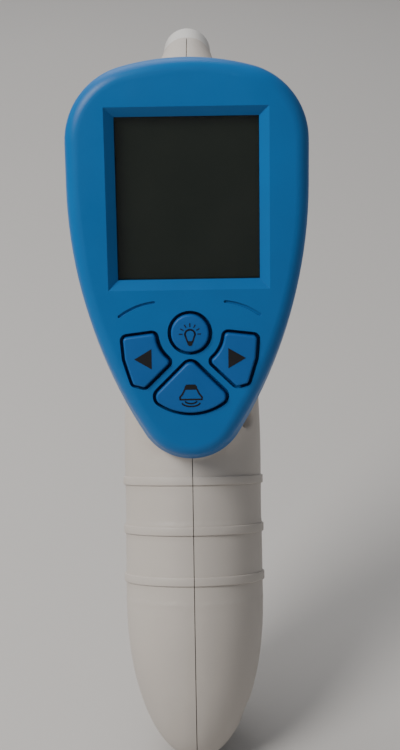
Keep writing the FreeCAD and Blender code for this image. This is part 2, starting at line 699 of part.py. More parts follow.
def make_housing():
    """The two clamshell halves and the battery door, all parts of one hollow form."""
    outer = combined("housing_outer",
                     [head_solid("head_outer", HEAD_SKIN), barrel_solid("barrel_outer", "0")]
                     + grip_solid("grip_outer", "0") + rib_bands())
    inner = combined("housing_inner",
                     [head_solid("head_inner", HEAD_SPACE), barrel_solid("barrel_inner", "wall - 0.6")]
                     + grip_solid("grip_inner", "wall"))
    hollow = cut_from("housing_hollow", outer, inner)
    bosses = [cross_rod("boss_%d" % index, str(y), str(z), "2.6", "-25", "25")
              for index, (y, z, depth) in enumerate(BOSSES)]
    bosses.append(cross_rod("boss_pivot", "pivot_y", "pivot_z", "pivot_r + 1.5", "-25", "25"))
    bosses += [
        world_block("ledge_upper", ("-25", "switch_y - 6.2", "-40.5"), ("50", "2.5", "2.5")),
        world_block("ledge_lower", ("-25", "switch_y - 6.2", "-58.5"), ("50", "2.5", "2.5")),
        world_block("tray_rail_high", ("-14", "tray_floor - 2.0", "-4"), ("28", "1.9", "2.5"), GRIP),
        world_block("tray_rail_low", ("-14", "tray_floor - 2.0", "-34"), ("28", "1.9", "2.5"), GRIP),
    ]
    fillings = combined("housing_bosses", bosses)
    trimmed = common_of("housing_bosses_trimmed", fillings, outer)
    whole = combined("housing_whole", [hollow, trimmed])
    door_space = world_block("door_space", ("-25", "door_y", "-80"), ("50", "25", "80 + door_top"), GRIP)
    slot = world_block("trigger_slot", ("-1 * trigger_half_x - slot_gap", "pivot_y - 4.5", "pivot_z - 28.4"),
                       ("2 * ( trigger_half_x + slot_gap )", "20", "31.6"))
    board_room = world_block("board_room", ("-6.3", "switch_y - 3.7", "-61"), ("12.6", "4", "26"))
    pin_hole = cross_rod("pin_hole", "pivot_y", "pivot_z", "pivot_r + 0.02", "-9.6", "9.6")
    openings = combined("housing_openings", [door_space, slot, board_room, pin_hole])
    opened = cut_from("housing_opened", whole, openings)
    side = world_block("right_side", ("0.5 * seam", "-150", "-170"), ("60", "200", "220"))
    half = common_of("right_blank", opened, side)
    mirrored = doc.addObject("Part::Mirroring", "left_blank")
    mirrored.Source = half
    mirrored.Normal = Vector(1, 0, 0)
    pilots, wells = [], []
    for index, (y, z, depth) in enumerate(BOSSES):
        pilots.append(cross_rod("pilot_%d" % index, str(y), str(z), "1.0", str(-depth), "0"))
        wells.append(cross_rod("through_%d" % index, str(y), str(z), "1.0", "0", "25"))
        wells.append(cross_rod("well_%d" % index, str(y), str(z), "2.15", str(depth), "25"))
    for label, blank, holes in (("right_housing", half, wells), ("left_housing", mirrored, pilots)):
        finished = cut_from(label, blank, combined(label + "_holes", holes))
        finished.Label = label
    door_box = world_block("door_box", ("-25", "door_y + door_gap", "-80"),
                           ("50", "25", "80 + door_top - door_gap"), GRIP)
    land = world_block("door_tongue_land", ("-3.5", "10.4", "door_top - 4"), ("7", "4.0", "3.5"), GRIP)
    core = cut_from("door_core", common_of("door_inside", inner, door_box), land)
    skin = cut_from("door_skin", common_of("door_block", outer, door_box), core)
    tongue = world_block("door_tongue", ("-3.5", "10.4", "door_top - 0.5"), ("7", "1.4", "3.0"), GRIP)
    door = combined("battery_door", [skin, tongue])
    door.Label = "battery_door"
    screws = []
    for index, (y, z, depth) in enumerate(BOSSES):
        head = cross_rod("case_head_%d" % index, str(y), str(z), "2.1", str(depth), str(depth + 1.6))
        shank = cross_rod("case_shank_%d" % index, str(y), str(z), "1.0", str(0.5 - depth), str(depth + 0.1))
        bars = [
            world_block("case_bar_a_%d" % index, (str(depth + 0.9), str(y - 1.1), str(z - 0.25)),
                        ("1.5", "2.2", "0.5")),
            world_block("case_bar_b_%d" % index, (str(depth + 0.9), str(y - 0.25), str(z - 1.1)),
                        ("1.5", "0.5", "2.2")),
        ]
        screws.append(cut_from("case_screw_%d" % index, combined("case_blank_%d" % index, [head, shank]),
                               combined("case_cross_%d" % index, bars)))
    group("housing_screws", WORLD, screws)


# ---------------------------------------------------------------- nose and sensor

def turned(label, outline, frame=NOSE):
    """A body revolved about the local Z axis from (radius, height) points given as sheet expressions."""
    body = new_body(label, frame)
    sketch = new_sketch(body, "profile", "0", "XZ_Plane")
    count = len(outline)
    points = [Vector(size(r), size(z), 0) for r, z in outline]
    for index in range(count):
        sketch.addGeometry(Part.LineSegment(points[index], points[(index + 1) % count]), False)
    for index in range(count):
        after = (index + 1) % count
        sketch.addConstraint(Sketcher.Constraint("Coincident", index, 2, after, 1))
    for index, (r, z) in enumerate(outline):
        fix(sketch, "DistanceX", (index, 1), r)
        fix(sketch, "DistanceY", (index, 1), z)
    item = body.newObject("PartDesign::Revolution", label + "_turn")
    item.Profile = sketch
    item.ReferenceAxis = (sketch, ["V_Axis"])
    item.Angle = 360
    sketch.Visibility = False
    doc.recompute()
    return body


def make_nose():
    """The nose cap, the sensor sleeve with its cone, the thermopile can, its filter and its board."""
    cap = turned("nose_cap", [
        ("aperture_r", "0"), ("nose_r", "0"), ("nose_r", "-1 * nose_long"), ("nose_bore", "-1 * nose_long"),
        ("nose_bore", "-1 * nose_wall"), ("aperture_r + 0.3", "-1 * nose_wall")])
    limit = size("nose_r") - 0.01
    round_edges(cap, cap.Tip, "round", "nose_round",
                lambda point: abs(point.z) < 0.01 and math.hypot(point.x, point.y) > limit)
    turned("sensor_sleeve", [
        ("aperture_r - 0.2", "sleeve_front"), ("sleeve_r", "sleeve_front"), ("sleeve_r", "sleeve_back"),
        ("can_r + 0.05", "sleeve_back"), ("can_r + 0.05", "can_front"), ("filter_r + 0.1", "can_front")])
    turned("thermopile", [
        ("0", "can_front - filter_thick"), ("can_r - 0.4", "can_front - filter_thick"),
        ("can_r - 0.4", "can_back + 0.6"), ("can_r", "can_back + 0.6"), ("can_r", "can_back"), ("0", "can_back")])
    turned("sensor_window", [
        ("0", "can_front"), ("filter_r", "can_front"), ("filter_r", "can_front - filter_thick"),
        ("0", "can_front - filter_thick")])
    board = new_body("sensor_board", NOSE)
    disc = new_sketch(board, "disc", "disc_front")
    add_circle(disc, "0", "0", "disc_r")
    feature(board, "Pad", disc, "plate", "disc_thick", Reversed=True)
    pins = []
    for index in range(4):
        turn = math.radians(45 + 90 * index)
        pins.append(rod("can_pin_%d" % index, (str(round(1.3 * math.cos(turn), 3)),
                                               str(round(1.3 * math.sin(turn), 3)), "disc_front"),
                        "pin_wire", "can_back - disc_front"))
    group("thermopile_pins", NOSE, pins)


# ---------------------------------------------------------------- trigger and its switch

def make_trigger():
    """The finger lever, its pin, the push switch behind it and the spring."""
    body = new_body("trigger", WORLD)
    sketch = new_sketch(body, "side", "0", "YZ_Plane")
    y, z = size("pivot_y"), size("pivot_z")
    hub = 2.3
    top = Vector(y, z + hub, 0)
    front = [Vector(y + 7.2, z + 2.2, 0), Vector(y + 9.6, z - 0.6, 0)]
    low = [Vector(y + 9.9, z - 25.0, 0), Vector(y + 7.0, z - 26.6, 0), Vector(y + 2.6, z - 26.2, 0)]
    back = Vector(y + 2.6, z - 3.0, 0)
    side = Vector(y - hub * 0.2, z - hub * 0.98, 0)
    sketch.addGeometry([
        Part.LineSegment(top, front[0]),
        Part.Arc(front[0], Vector(y + 9.0, z + 1.2, 0), front[1]),
        Part.Arc(front[1], Vector(y + 7.9, z - 12.5, 0), low[0]),
        Part.Arc(low[0], Vector(y + 9.2, z - 26.3, 0), low[1]),
        Part.LineSegment(low[1], low[2]),
        Part.LineSegment(low[2], back),
        Part.LineSegment(back, side),
        Part.Arc(side, Vector(y - hub, z, 0), top),
    ], False)
    feature(body, "Pad", sketch, "lever", "2 * trigger_half_x", Midplane=True)
    bore = new_sketch(body, "bore", "-20", "YZ_Plane")
    add_circle(bore, "pivot_y", "pivot_z", "pivot_r + 0.05")
    feature(body, "Pocket", bore, "pin_bore", "40", Reversed=True)
    pin = cross_rod("trigger_pin", "pivot_y", "pivot_z", "pivot_r", "-9.5", "9.5")
    pin.Label = "trigger_pin"
    board = world_block("switch_board", ("-6", "switch_y - 3.6", "-60.6"), ("12", "1.6", "25"))
    board.Label = "switch_board"
    base = world_block("switch_block", ("-3", "switch_y - 2", "switch_z - 3"), ("6", "4.2", "6"))
    well = rod("switch_well", ("0", "switch_y - 1.2", "switch_z"), "plunger_r + 0.1", "6", (1, 0, 0, -90))
    switch = cut_from("trigger_switch", base, well)
    switch.Label = "trigger_switch"
    plunger = new_body("switch_plunger", NOSE)
    stem = new_sketch(plunger, "stem", "switch_y + 1.2")
    add_circle(stem, "0", "-1 * switch_z", "plunger_r")
    long = feature(plunger, "Pad", stem, "rod", "plunger_tip - switch_y - 1.2")
    tip = size("plunger_tip")
    round_edges(plunger, long, "tip", "0.8", along_z(tip - 0.01, tip + 0.01))


def coil(label, frame, foot, radius, wire, pitch, turns):
    """A round-wire helical spring that stands on a point of a frame and rises along its Z axis."""
    path = Part.makeHelix(pitch, pitch * turns, radius)
    profile = Part.Wire(Part.makeCircle(wire, Vector(radius, 0, 0), Vector(0, 1, 0)))
    shape = Part.Wire(path).makePipeShell([profile], True, True)
    item = doc.addObject("Part::Feature", label)
    item.Label = label
    item.Shape = shape
    item.Placement = frame_placement(frame).multiply(Placement(foot, Rotation()))
    return item


# ---------------------------------------------------------------- battery bay

def make_battery_bay():
    """The tray, two cells laid head to foot, their plates and springs."""
    floor = block("tray_slab", ("-9.6", "tray_floor", "-43.8"), ("19.2", "1.6", "51.6"))
    trough = block("tray_trough", ("-1 * tray_half_x", "tray_floor", "-37.5"),
                   ("2 * tray_half_x", "1.0 - tray_floor", "43"))
    top = block("tray_top", ("-9.6", "tray_floor", "cell_top + plate_thick"), ("19.2", "8.4", "1.4"))
    low = block("tray_low", ("-9.0", "tray_floor", "-43.8"), ("18", "8.2", "1.5"))
    cells = [rod("tray_cell_%d" % index, ("%s * cell_x" % sign, "cell_y", "-38.5"), "cell_r + 0.05", "44.5")
             for index, sign in enumerate(("-1", "1"))]
    solid = combined("tray_solid", [floor, trough, top, low])
    tray = cut_from("tray_cut", solid, combined("tray_cells", cells))
    group("battery_tray", GRIP, [tray])
    for label, sign, foot, tip in (("battery_left", "-1", "cell_top - cell_long", True),
                                   ("battery_right", "1", "cell_top - cell_long - spring_long", False)):
        x_text = "%s * cell_x" % sign
        shift = "0" if tip else "1"
        can = rod(label + "_can", (x_text, "cell_y", "%s + %s" % (foot, shift)), "cell_r", "cell_long - 1")
        nub_at = foot + (" + cell_long - 1.2" if tip else "")
        nub = rod(label + "_nub", (x_text, "cell_y", nub_at), "1.9", "1.2")
        group(label, GRIP, [combined(label + "_solid", [can, nub])])
    low_z = "cell_top - cell_long - spring_long - plate_thick"
    plates = [
        block("plate_bridge", ("-8.8", "-2.6", low_z), ("17.6", "7.4", "plate_thick")),
        block("plate_left", ("-9.4", "-2.6", "cell_top"), ("8.4", "7.4", "plate_thick")),
        block("plate_right", ("1.0", "-2.6", "cell_top"), ("8.4", "7.4", "plate_thick")),
    ]
    group("battery_contacts", GRIP, plates)
    springs = []
    for index, (sign, foot) in enumerate((("-1", "cell_top - cell_long - spring_long"),
                                          ("1", "cell_top - spring_long"))):
        spot = Vector(size(sign + " * cell_x"), size("cell_y"), size(foot) + 0.35)
        springs.append(coil("battery_spring_%d" % index, WORLD, spot, 2.5, 0.35, 0.95, 2.8))
    group("battery_springs", GRIP, springs)


# ---------------------------------------------------------------- leads

def lead(label, points, radius):
    """A round lead through points: straight runs joined by tangent arcs."""
    spots = [Vector(*point) for point in points]
    edges = []
    start = spots[0]
    for before, here, after in zip(spots, spots[1:], spots[2:]):
        run = min(before.distanceToPoint(here), here.distanceToPoint(after))
        back, forth = (before - here).normalize(), (after - here).normalize()
        turn = math.pi - back.getAngle(forth)
        reach = 0.45 * run
        print("%s bend radius %.1f mm" % (label, reach / math.tan(turn / 2)))
        entry, leave = here + back * reach, here + forth * reach
        bisector = (back + forth).normalize()
        bend = reach / math.tan(turn / 2)
        centre = here + bisector * math.hypot(bend, reach)
        middle = centre - bisector * bend
        edges.append(Part.LineSegment(start, entry).toShape())
        edges.append(Part.Arc(entry, middle, leave).toShape())
        start = leave
    edges.append(Part.LineSegment(start, spots[-1]).toShape())
    path = Part.Wire(edges)
    ahead = spots[1] - spots[0]
    profile = Part.Wire(Part.makeCircle(radius, spots[0], ahead))
    item = doc.addObject("Part::Feature", label)
    item.Label = label
    item.Shape = path.makePipeShell([profile], True, False)
    return item


SENSOR_ROUTE = [(0, -23.7, 0), (0.0, -31.5, -0.4), (0.9, -39.5, -2.4), (0.2, -47.8, -2.9), (0, -55.4, -2.0)]
RED_ROUTE = [(5.4, -63.9, -73.0), (4.6, -60.9, -67.9), (3.6, -62.4, -61.6), (3.0, -66.6, -57.0),
             (3.0, -71.0, -55.6)]
SWITCH_ROUTE = [(5.2, -60.8, -44.6), (6.2, -63.2, -44.1), (7.8, -65.4, -42.3), (8.8, -67.6, -39.8)]


def make_leads():
    """The sensor cable, the two battery leads and the switch lead, with the plugs they end in."""
    lead("sensor_cable", SENSOR_ROUTE, 0.8)
    lead("battery_lead_red", RED_ROUTE, 0.55)
    lead("battery_lead_black", [(-x, y, z) for x, y, z in RED_ROUTE], 0.55)
    lead("switch_lead", SWITCH_ROUTE, 0.5)
    rear = "board_z - board_thick"
    plugs = [
        block("plug_sensor", ("-3", "-0.6", rear + " - 4.6"), ("6", "3.6", "4.6")),
        block("plug_battery", ("-4.6", "-56.9", rear + " - 2.6"), ("9.2", "3.0", "2.6")),
        block("plug_switch", ("6.8", "-38.9", rear + " - 2.6"), ("4.4", "3.0", "2.6")),
    ]
    group("board_sockets", FACE, plugs)


make_bezel()
make_display()
make_board()
for key_name in KEYS:
    make_key(key_name)
make_board_parts()
make_housing()
make_nose()
make_trigger()
make_battery_bay()
spring_foot = Vector(0, 40.5, size("switch_y") - 1.65)
coil("trigger_spring", NOSE, spring_foot, 2.0, 0.3, 1.48, 8)
make_leads()
doc.recompute()

# ---------------------------------------------------------------- checks and output

NODES = [
    "display_bezel", "display_window", "lcd_panel", "lcd_backlight", "lcd_contact_strip", "main_board",
    "board_chips", "board_sockets", "board_screws", "key_domes", "buzzer", "light_key", "left_key",
    "right_key", "sound_key", "left_housing", "right_housing", "housing_screws", "battery_door",
    "battery_tray", "battery_left", "battery_right", "battery_contacts", "battery_springs",
    "battery_lead_red", "battery_lead_black", "nose_cap", "sensor_sleeve", "thermopile",
    "thermopile_pins", "sensor_window", "sensor_board", "sensor_cable", "trigger", "trigger_pin",
    "trigger_spring", "trigger_switch", "switch_plunger", "switch_board", "switch_lead",
]

for item in doc.Objects:
    if "Invalid" in item.State or "Error" in item.State:
        raise RuntimeError("%s did not build: %s" % (item.Name, item.State))

os.makedirs("parts", exist_ok=True)
for node in NODES:
    item = doc.getObjectsByLabel(node)[0]
    if item.Shape.isNull() or not item.Shape.isValid():
        raise RuntimeError("%s has no valid shape" % node)
    item.Shape.exportStep("parts/%s.step" % node)
    print("%-20s %3d solid(s) %10.1f mm3" % (node, len(item.Shape.Solids), item.Shape.Volume))
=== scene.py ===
import math

import bmesh
import bpy
import numpy as np
from bpy.props import FloatProperty, FloatVectorProperty, IntProperty, PointerProperty
from mathutils import Matrix, Vector, kdtree


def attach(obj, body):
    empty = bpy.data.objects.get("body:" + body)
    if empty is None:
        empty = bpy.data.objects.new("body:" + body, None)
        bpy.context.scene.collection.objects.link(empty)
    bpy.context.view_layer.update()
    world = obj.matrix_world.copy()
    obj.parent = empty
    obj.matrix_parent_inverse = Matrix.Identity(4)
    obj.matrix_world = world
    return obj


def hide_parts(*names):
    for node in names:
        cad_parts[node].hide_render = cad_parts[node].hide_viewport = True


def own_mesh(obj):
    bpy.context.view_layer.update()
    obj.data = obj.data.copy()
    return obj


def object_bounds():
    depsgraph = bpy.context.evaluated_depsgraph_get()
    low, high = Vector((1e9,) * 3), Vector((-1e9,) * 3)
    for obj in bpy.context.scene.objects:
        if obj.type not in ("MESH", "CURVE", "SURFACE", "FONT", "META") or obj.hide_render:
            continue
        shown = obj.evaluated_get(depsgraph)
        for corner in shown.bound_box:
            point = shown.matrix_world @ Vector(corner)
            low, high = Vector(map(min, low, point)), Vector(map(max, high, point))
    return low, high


bl_info = {
    "name": "Infrared Thermometer Looks",
    "version": (1, 0, 0),
    "blender": (4, 5, 0),
    "location": "3D View > Sidebar > Thermometer",
    "description": "Dresses the packed thermometer with moulded skins, prints and finishes",
    "category": "Object",
}

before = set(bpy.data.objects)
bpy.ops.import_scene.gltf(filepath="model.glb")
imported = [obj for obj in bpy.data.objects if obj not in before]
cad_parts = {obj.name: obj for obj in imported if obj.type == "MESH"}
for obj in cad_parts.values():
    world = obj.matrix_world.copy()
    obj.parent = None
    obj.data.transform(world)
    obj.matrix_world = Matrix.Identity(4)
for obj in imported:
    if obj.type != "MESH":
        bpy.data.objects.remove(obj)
CAD_LOW, CAD_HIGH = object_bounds()
MM = 0.001

# The display face and the grip each have a frame of their own, in metres.
FACE_Y = -0.0718
GRIP_RAKE = -30
FACE = Matrix.Translation((0, FACE_Y, 0)) @ Matrix.Rotation(math.radians(75), 4, "X")
GRIP = (Matrix.Translation((0, -0.0686, -0.0805))
        @ Matrix.Rotation(math.radians(GRIP_RAKE), 4, "X"))


def on(place, x, y, z=0.0):
    """A point given in millimetres in the face or grip frame, in metres in the row frame."""
    return place @ Vector((x * MM, y * MM, z * MM))


# ---------------------------------------------------------------- sizes and colours

def colour_prop(name, what, value):
    return FloatVectorProperty(name=name, description=what, default=value, size=3, min=0, max=1,
                               subtype="COLOR")


def length_prop(name, what, value):
    return FloatProperty(name=name, description=what, default=value, min=0, precision=5,
                         subtype="DISTANCE", unit="LENGTH")


class ThermometerSizes(bpy.types.PropertyGroup):
    """Sizes of the dressed pieces."""

    skin_grid: length_prop("Skin grid", "Spacing of the moulded skins' mesh", 0.00055)
    blend_grid: length_prop("Blend grid", "Spacing of the form the creases are blended on", 0.0009)
    blend_rounds: IntProperty(name="Blend rounds", default=70, min=0, max=300,
                              description="How far creases between forms are softened")
    seam: length_prop("Seam", "Gap between the two case halves", 0.00016)
    print_thick: length_prop("Print thickness", "Height of the printed key symbols", 0.00005)
    stroke: length_prop("Print stroke", "Line width of the printed key symbols", 0.00032)
    screw_radius: length_prop("Screw head radius", "Radius of the case screws' heads", 0.0021)
    screw_height: length_prop("Screw head height", "Height of the case screws' heads", 0.0016)
    recess: length_prop("Cross recess", "Width of the bars of the screws' cross recess", 0.0007)
    rib_pitch: length_prop("Rib pitch", "Distance between the grip's raised bands", 0.0107)
    rib_wide: length_prop("Rib width", "Width of each raised band", 0.0019)
    rib_proud: length_prop("Rib height", "How far each band stands proud of the grip", 0.00042)
    rib_shoulder: length_prop("Rib shoulder", "Rounding of each band's edges", 0.00025)
    trigger_round: length_prop("Trigger rounding", "Radius of the finger lever's edges", 0.0012)


class ThermometerColours(bpy.types.PropertyGroup):
    """Colours of the main finishes."""

    bezel: colour_prop("Bezel", "Moulded plastic round the display", (0.0060, 0.125, 0.360))
    key: colour_prop("Keys", "Key caps", (0.0045, 0.097, 0.320))
    case: colour_prop("Case", "Case halves", (0.50, 0.455, 0.41))
    nose: colour_prop("Nose", "Nose cap", (0.60, 0.58, 0.55))
    trigger: colour_prop("Trigger", "Finger lever", (0.012, 0.145, 0.33))
    display: colour_prop("Display", "Unlit display glass", (0.012, 0.016, 0.011))
    print_ink: colour_prop("Print", "Ink of the key symbols", (0.006, 0.006, 0.008))
    floor: colour_prop("Floor", "Studio floor", (0.49, 0.47, 0.45))


def sizes():
    return bpy.context.scene.thermometer_sizes


def colours():
    return bpy.context.scene.thermometer_colours


# ---------------------------------------------------------------- node helpers

def plug(tree, socket, value):
    """Gives an input a plain value, or links another node's output to it."""
    if isinstance(value, bpy.types.NodeSocket):
        tree.links.new(value, socket)
    else:
        socket.default_value = value


def feed(tree, item, **settings):
    """Sets a node's inputs and options by name, with _ for each space in an input's name."""
    for key, value in settings.items():
        label = key.replace("_", " ")
        if label in item.inputs:
            plug(tree, item.inputs[label], value)
        else:
            setattr(item, key, value)
    return item


def node(tree, kind, **settings):
    return feed(tree, tree.nodes.new(kind), **settings)


def maths(tree, operation, first, second=0):
    item = node(tree, "ShaderNodeMath", operation=operation)
    plug(tree, item.inputs[0], first)
    plug(tree, item.inputs[1], second)
    return item.outputs[0]


def vector_of(tree, x, y, z):
    return node(tree, "ShaderNodeCombineXYZ", X=x, Y=y, Z=z).outputs[0]


# ---------------------------------------------------------------- finishes

# Where a noise pattern starts and stops changing a finish.
PATTERN_LOW, PATTERN_HIGH = 0.3, 0.7
# Features a metre of flow marks and handling sheen on plastic, and of marks and tarnish on metal.
FLOW_SCALE, SHEEN_SCALE = 55, 130
MARK_SCALE, TARNISH_SCALE = 900.0, 240
GRAIN_DEPTH, MARK_DEPTH = 0.00008, 0.00004
# Height along the grip's axis at which the cells' copper band starts.
CELL_BAND = -0.1165


def new_finish(name):
    """A new material with its tree, its shader and object coordinates."""
    mat = bpy.data.materials.new(name + "_finish")
    mat.use_nodes = True
    tree = mat.node_tree
    coords = node(tree, "ShaderNodeTexCoord").outputs["Object"]
    return mat, tree, tree.nodes["Principled BSDF"], coords


def noise(tree, coords, scale, detail=3.0, rough=0.55, stretch=None):
    """Noise on object coordinates; scale is in features a metre."""
    if stretch:
        coords = node(tree, "ShaderNodeMapping", Scale=stretch, Vector=coords).outputs["Vector"]
    return node(tree, "ShaderNodeTexNoise", Scale=scale, Detail=detail, Roughness=rough,
                Vector=coords).outputs["Fac"]


def spread(tree, value, low, high, start=PATTERN_LOW, end=PATTERN_HIGH):
    """Maps a 0 to 1 pattern to a range."""
    return node(tree, "ShaderNodeMapRange", Value=value, From_Min=start, From_Max=end,
                To_Min=low, To_Max=high).outputs["Result"]


def two_tone(tree, value, first, second):
    """A colour between two, by a 0 to 1 pattern."""
    ramp = node(tree, "ShaderNodeValToRGB", Fac=value)
    ends = ramp.color_ramp.elements
    for end, position, colour in zip(ends, (PATTERN_LOW, PATTERN_HIGH), (first, second)):
        end.position = position
        end.color = (*colour, 1)
    return ramp.outputs["Color"]


def bumped(tree, shader, value, strength, distance):
    bump = node(tree, "ShaderNodeBump", Strength=strength, Distance=distance, Height=value)
    feed(tree, shader, Normal=bump.outputs["Normal"])


def shifted(colour, factor):
    return tuple(min(1.0, c * factor) for c in colour[:3])


def moulded(name, colour, rough, grain, bump, mottle, specular=0.5, coat=0.0):
    """Injection-moulded plastic: spark-eroded grain, faint flow marks and handling sheen."""
    mat, tree, shader, coords = new_finish(name)
    flow = noise(tree, coords, FLOW_SCALE, 4.0, 0.6)
    sheen = noise(tree, coords, SHEEN_SCALE, 5.0, 0.65, (1, 1, 0.45))
    tones = two_tone(tree, flow, shifted(colour, 1 - mottle), shifted(colour, 1 + mottle))
    feed(tree, shader, Base_Color=tones, Roughness=spread(tree, sheen, rough - 0.05, rough + 0.06),
         Specular_IOR_Level=specular, Coat_Weight=coat, Coat_Roughness=0.12)
    bumped(tree, shader, noise(tree, coords, grain, 2.0, 0.5), bump, GRAIN_DEPTH)
    return mat


def metal(name, colour, rough, brushed=(1, 1, 1)):
    """Plated or turned metal with fine machining marks and slight tarnish."""
    mat, tree, shader, coords = new_finish(name)
    marks = noise(tree, coords, MARK_SCALE, 4.0, 0.6, brushed)
    tarnish = noise(tree, coords, TARNISH_SCALE, 4.0, 0.6)
    tones = two_tone(tree, tarnish, shifted(colour, 0.82), shifted(colour, 1.06))
    feed(tree, shader, Base_Color=tones, Roughness=spread(tree, marks, rough - 0.1, rough + 0.12),
         Metallic=1.0)
    bumped(tree, shader, marks, 0.12, MARK_DEPTH)
    return mat


def clear_lens():
    """Clear acrylic sheet: nearly invisible but for its gloss and a trace of smudging."""
    mat, tree, shader, coords = new_finish("window_clear")
    smudge = noise(tree, coords, 90, 5.0, 0.6)
    tones = two_tone(tree, smudge, (0.020, 0.026, 0.020), (0.030, 0.036, 0.028))
    feed(tree, shader, Base_Color=tones, Roughness=spread(tree, smudge, 0.05, 0.16),
         Alpha=0.22, Specular_IOR_Level=0.6)
    return mat


def unlit_display():
    """Unlit liquid-crystal glass: dark olive, with a fine cell grid and a cloudy rear layer."""
    mat, tree, shader, coords = new_finish("lcd_glass")
    base = tuple(colours().display)
    cloud = noise(tree, coords, 30, 3.0, 0.5)
    gloss = noise(tree, coords, 160)
    weave = node(tree, "ShaderNodeTexChecker", Scale=2400.0, Vector=coords)
    feed(tree, shader, Base_Color=two_tone(tree, cloud, shifted(base, 0.8), shifted(base, 1.25)),
         Roughness=spread(tree, gloss, 0.16, 0.26), Coat_Weight=0.5, Coat_Roughness=0.06)
    bumped(tree, shader, weave.outputs["Fac"], 0.03, 0.00001)
    return mat


def circuit_board():
    """Green solder mask over copper runs."""
    mat, tree, shader, coords = new_finish("board_green")
    runs = node(tree, "ShaderNodeTexVoronoi", distance="MANHATTAN", feature="F1",
                Scale=420.0, Vector=coords)
    tracks = spread(tree, runs.outputs["Distance"], 0.0, 1.0, 0.38, 0.44)
    tones = two_tone(tree, tracks, (0.012, 0.105, 0.045), (0.03, 0.19, 0.075))
    feed(tree, shader, Base_Color=tones, Coat_Weight=0.35,
         Roughness=spread(tree, noise(tree, coords, 600), 0.28, 0.42))
    bumped(tree, shader, tracks, 0.35, 0.00006)
    return mat


def cell_wrap():
    """Battery skin: a satin printed sleeve with a copper band near one end, set along the grip."""
    mat, tree, shader, coords = new_finish("cell_skin")
    turn = node(tree, "ShaderNodeMapping", vector_type="POINT", Vector=coords,
                Rotation=(math.radians(-GRIP_RAKE), 0, 0))
    along = node(tree, "ShaderNodeSeparateXYZ", Vector=turn.outputs["Vector"])
    band = maths(tree, "GREATER_THAN", along.outputs["Z"], CELL_BAND)
    tones = two_tone(tree, band, (0.02, 0.022, 0.026), (0.52, 0.23, 0.09))
    feed(tree, shader, Base_Color=tones, Coat_Weight=0.4,
         Roughness=spread(tree, noise(tree, coords, 260), 0.2, 0.36))
    bumped(tree, shader, noise(tree, coords, 500, 2.0), 0.08, 0.00005)
    return mat


def studio_floor():
    """Pale matte paper with the faintest fibre."""
    mat, tree, shader, coords = new_finish("studio_floor")
    base = tuple(colours().floor)
    tones = two_tone(tree, noise(tree, coords, 3, 2.0), shifted(base, 0.985), shifted(base, 1.015))
    feed(tree, shader, Base_Color=tones,
         Roughness=spread(tree, noise(tree, coords, 400), 0.75, 0.85))
    bumped(tree, shader, noise(tree, coords, 900, 2.0), 0.06, 0.0001)
    return mat


def plastics():
    """Each moulded slot's colour, roughness, grain, bump and mottle, then specular and coat."""
    tone = colours()
    return {
        "bezel_blue": (tone.bezel, 0.42, 3000, 0.10, 0.05, 0.26),
        "key_blue": (tone.key, 0.48, 2600, 0.14, 0.05, 0.3),
        "case_white": (tone.case, 0.47, 2400, 0.16, 0.03, 0.45),
        "nose_white": (tone.nose, 0.4, 2600, 0.10, 0.03),
        "trigger_blue": (tone.trigger, 0.4, 2600, 0.12, 0.05),
        "print_black": (tone.print_ink, 0.5, 3800, 0.2, 0.2, 0.4),
        "diffuser": ((0.72, 0.75, 0.70), 0.5, 1800, 0.05, 0.02),
        "silicone": ((0.20, 0.20, 0.20), 0.6, 1500, 0.10, 0.08, 0.35),
        "chip_black": ((0.018, 0.018, 0.020), 0.55, 4200, 0.30, 0.15, 0.4),
        "socket_cream": ((0.62, 0.55, 0.40), 0.5, 2600, 0.12, 0.05),
        "black_plastic": ((0.020, 0.020, 0.021), 0.42, 2400, 0.15, 0.12),
        "tray_grey": ((0.11, 0.112, 0.115), 0.5, 2200, 0.16, 0.08),
        "filter_dark": ((0.010, 0.008, 0.012), 0.12, 1200, 0.02, 0.2, 0.7, 0.6),
        "lead_red": ((0.42, 0.016, 0.012), 0.42, 1400, 0.10, 0.08),
        "lead_black": ((0.014, 0.014, 0.015), 0.42, 1400, 0.10, 0.1),
        "lead_grey": ((0.16, 0.16, 0.165), 0.45, 1400, 0.12, 0.08),
    }


# Each metal slot's colour and roughness, and how its machining marks are stretched.
METALS = {
    "steel": ((0.56, 0.56, 0.57), 0.28, (1, 1, 6)),
    "nickel": ((0.62, 0.60, 0.55), 0.22),
    "brass": ((0.72, 0.52, 0.24), 0.26, (6, 1, 6)),
    "gold": ((0.86, 0.62, 0.26), 0.22),
}
SPECIAL = {"window_clear": clear_lens, "lcd_glass": unlit_display,
           "board_green": circuit_board, "cell_skin": cell_wrap}
MADE = {}


def finish(slot):
    """The material of a slot, made once."""
    if slot not in MADE:
        if slot in SPECIAL:
            MADE[slot] = SPECIAL[slot]()
        elif slot in METALS:
            MADE[slot] = metal(slot, *METALS[slot])
        else:
            MADE[slot] = moulded(slot, *plastics()[slot])
    return MADE[slot]


# ---------------------------------------------------------------- mesh helpers

WELD = 2e-6          # corners of a node's loose triangles nearer than this are one
FLAT_ANGLE = 0.6     # degrees under which neighbouring faces are one flat face
CUT_REACH = 1e-7     # how near a cutting plane a corner counts as on it


def opened(mesh):
    bm = bmesh.new()
    bm.from_mesh(mesh)
    return bm


def mesh_of(bm, name):
    mesh = bpy.data.meshes.new(name)
    bm.to_mesh(mesh)
    bm.free()
    return mesh


def merged(node_name):
    """A copy of a CAD node with its loose triangles joined up."""
    bm = opened(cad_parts[node_name].data)
    bmesh.ops.remove_doubles(bm, verts=bm.verts, dist=WELD)
    return bm


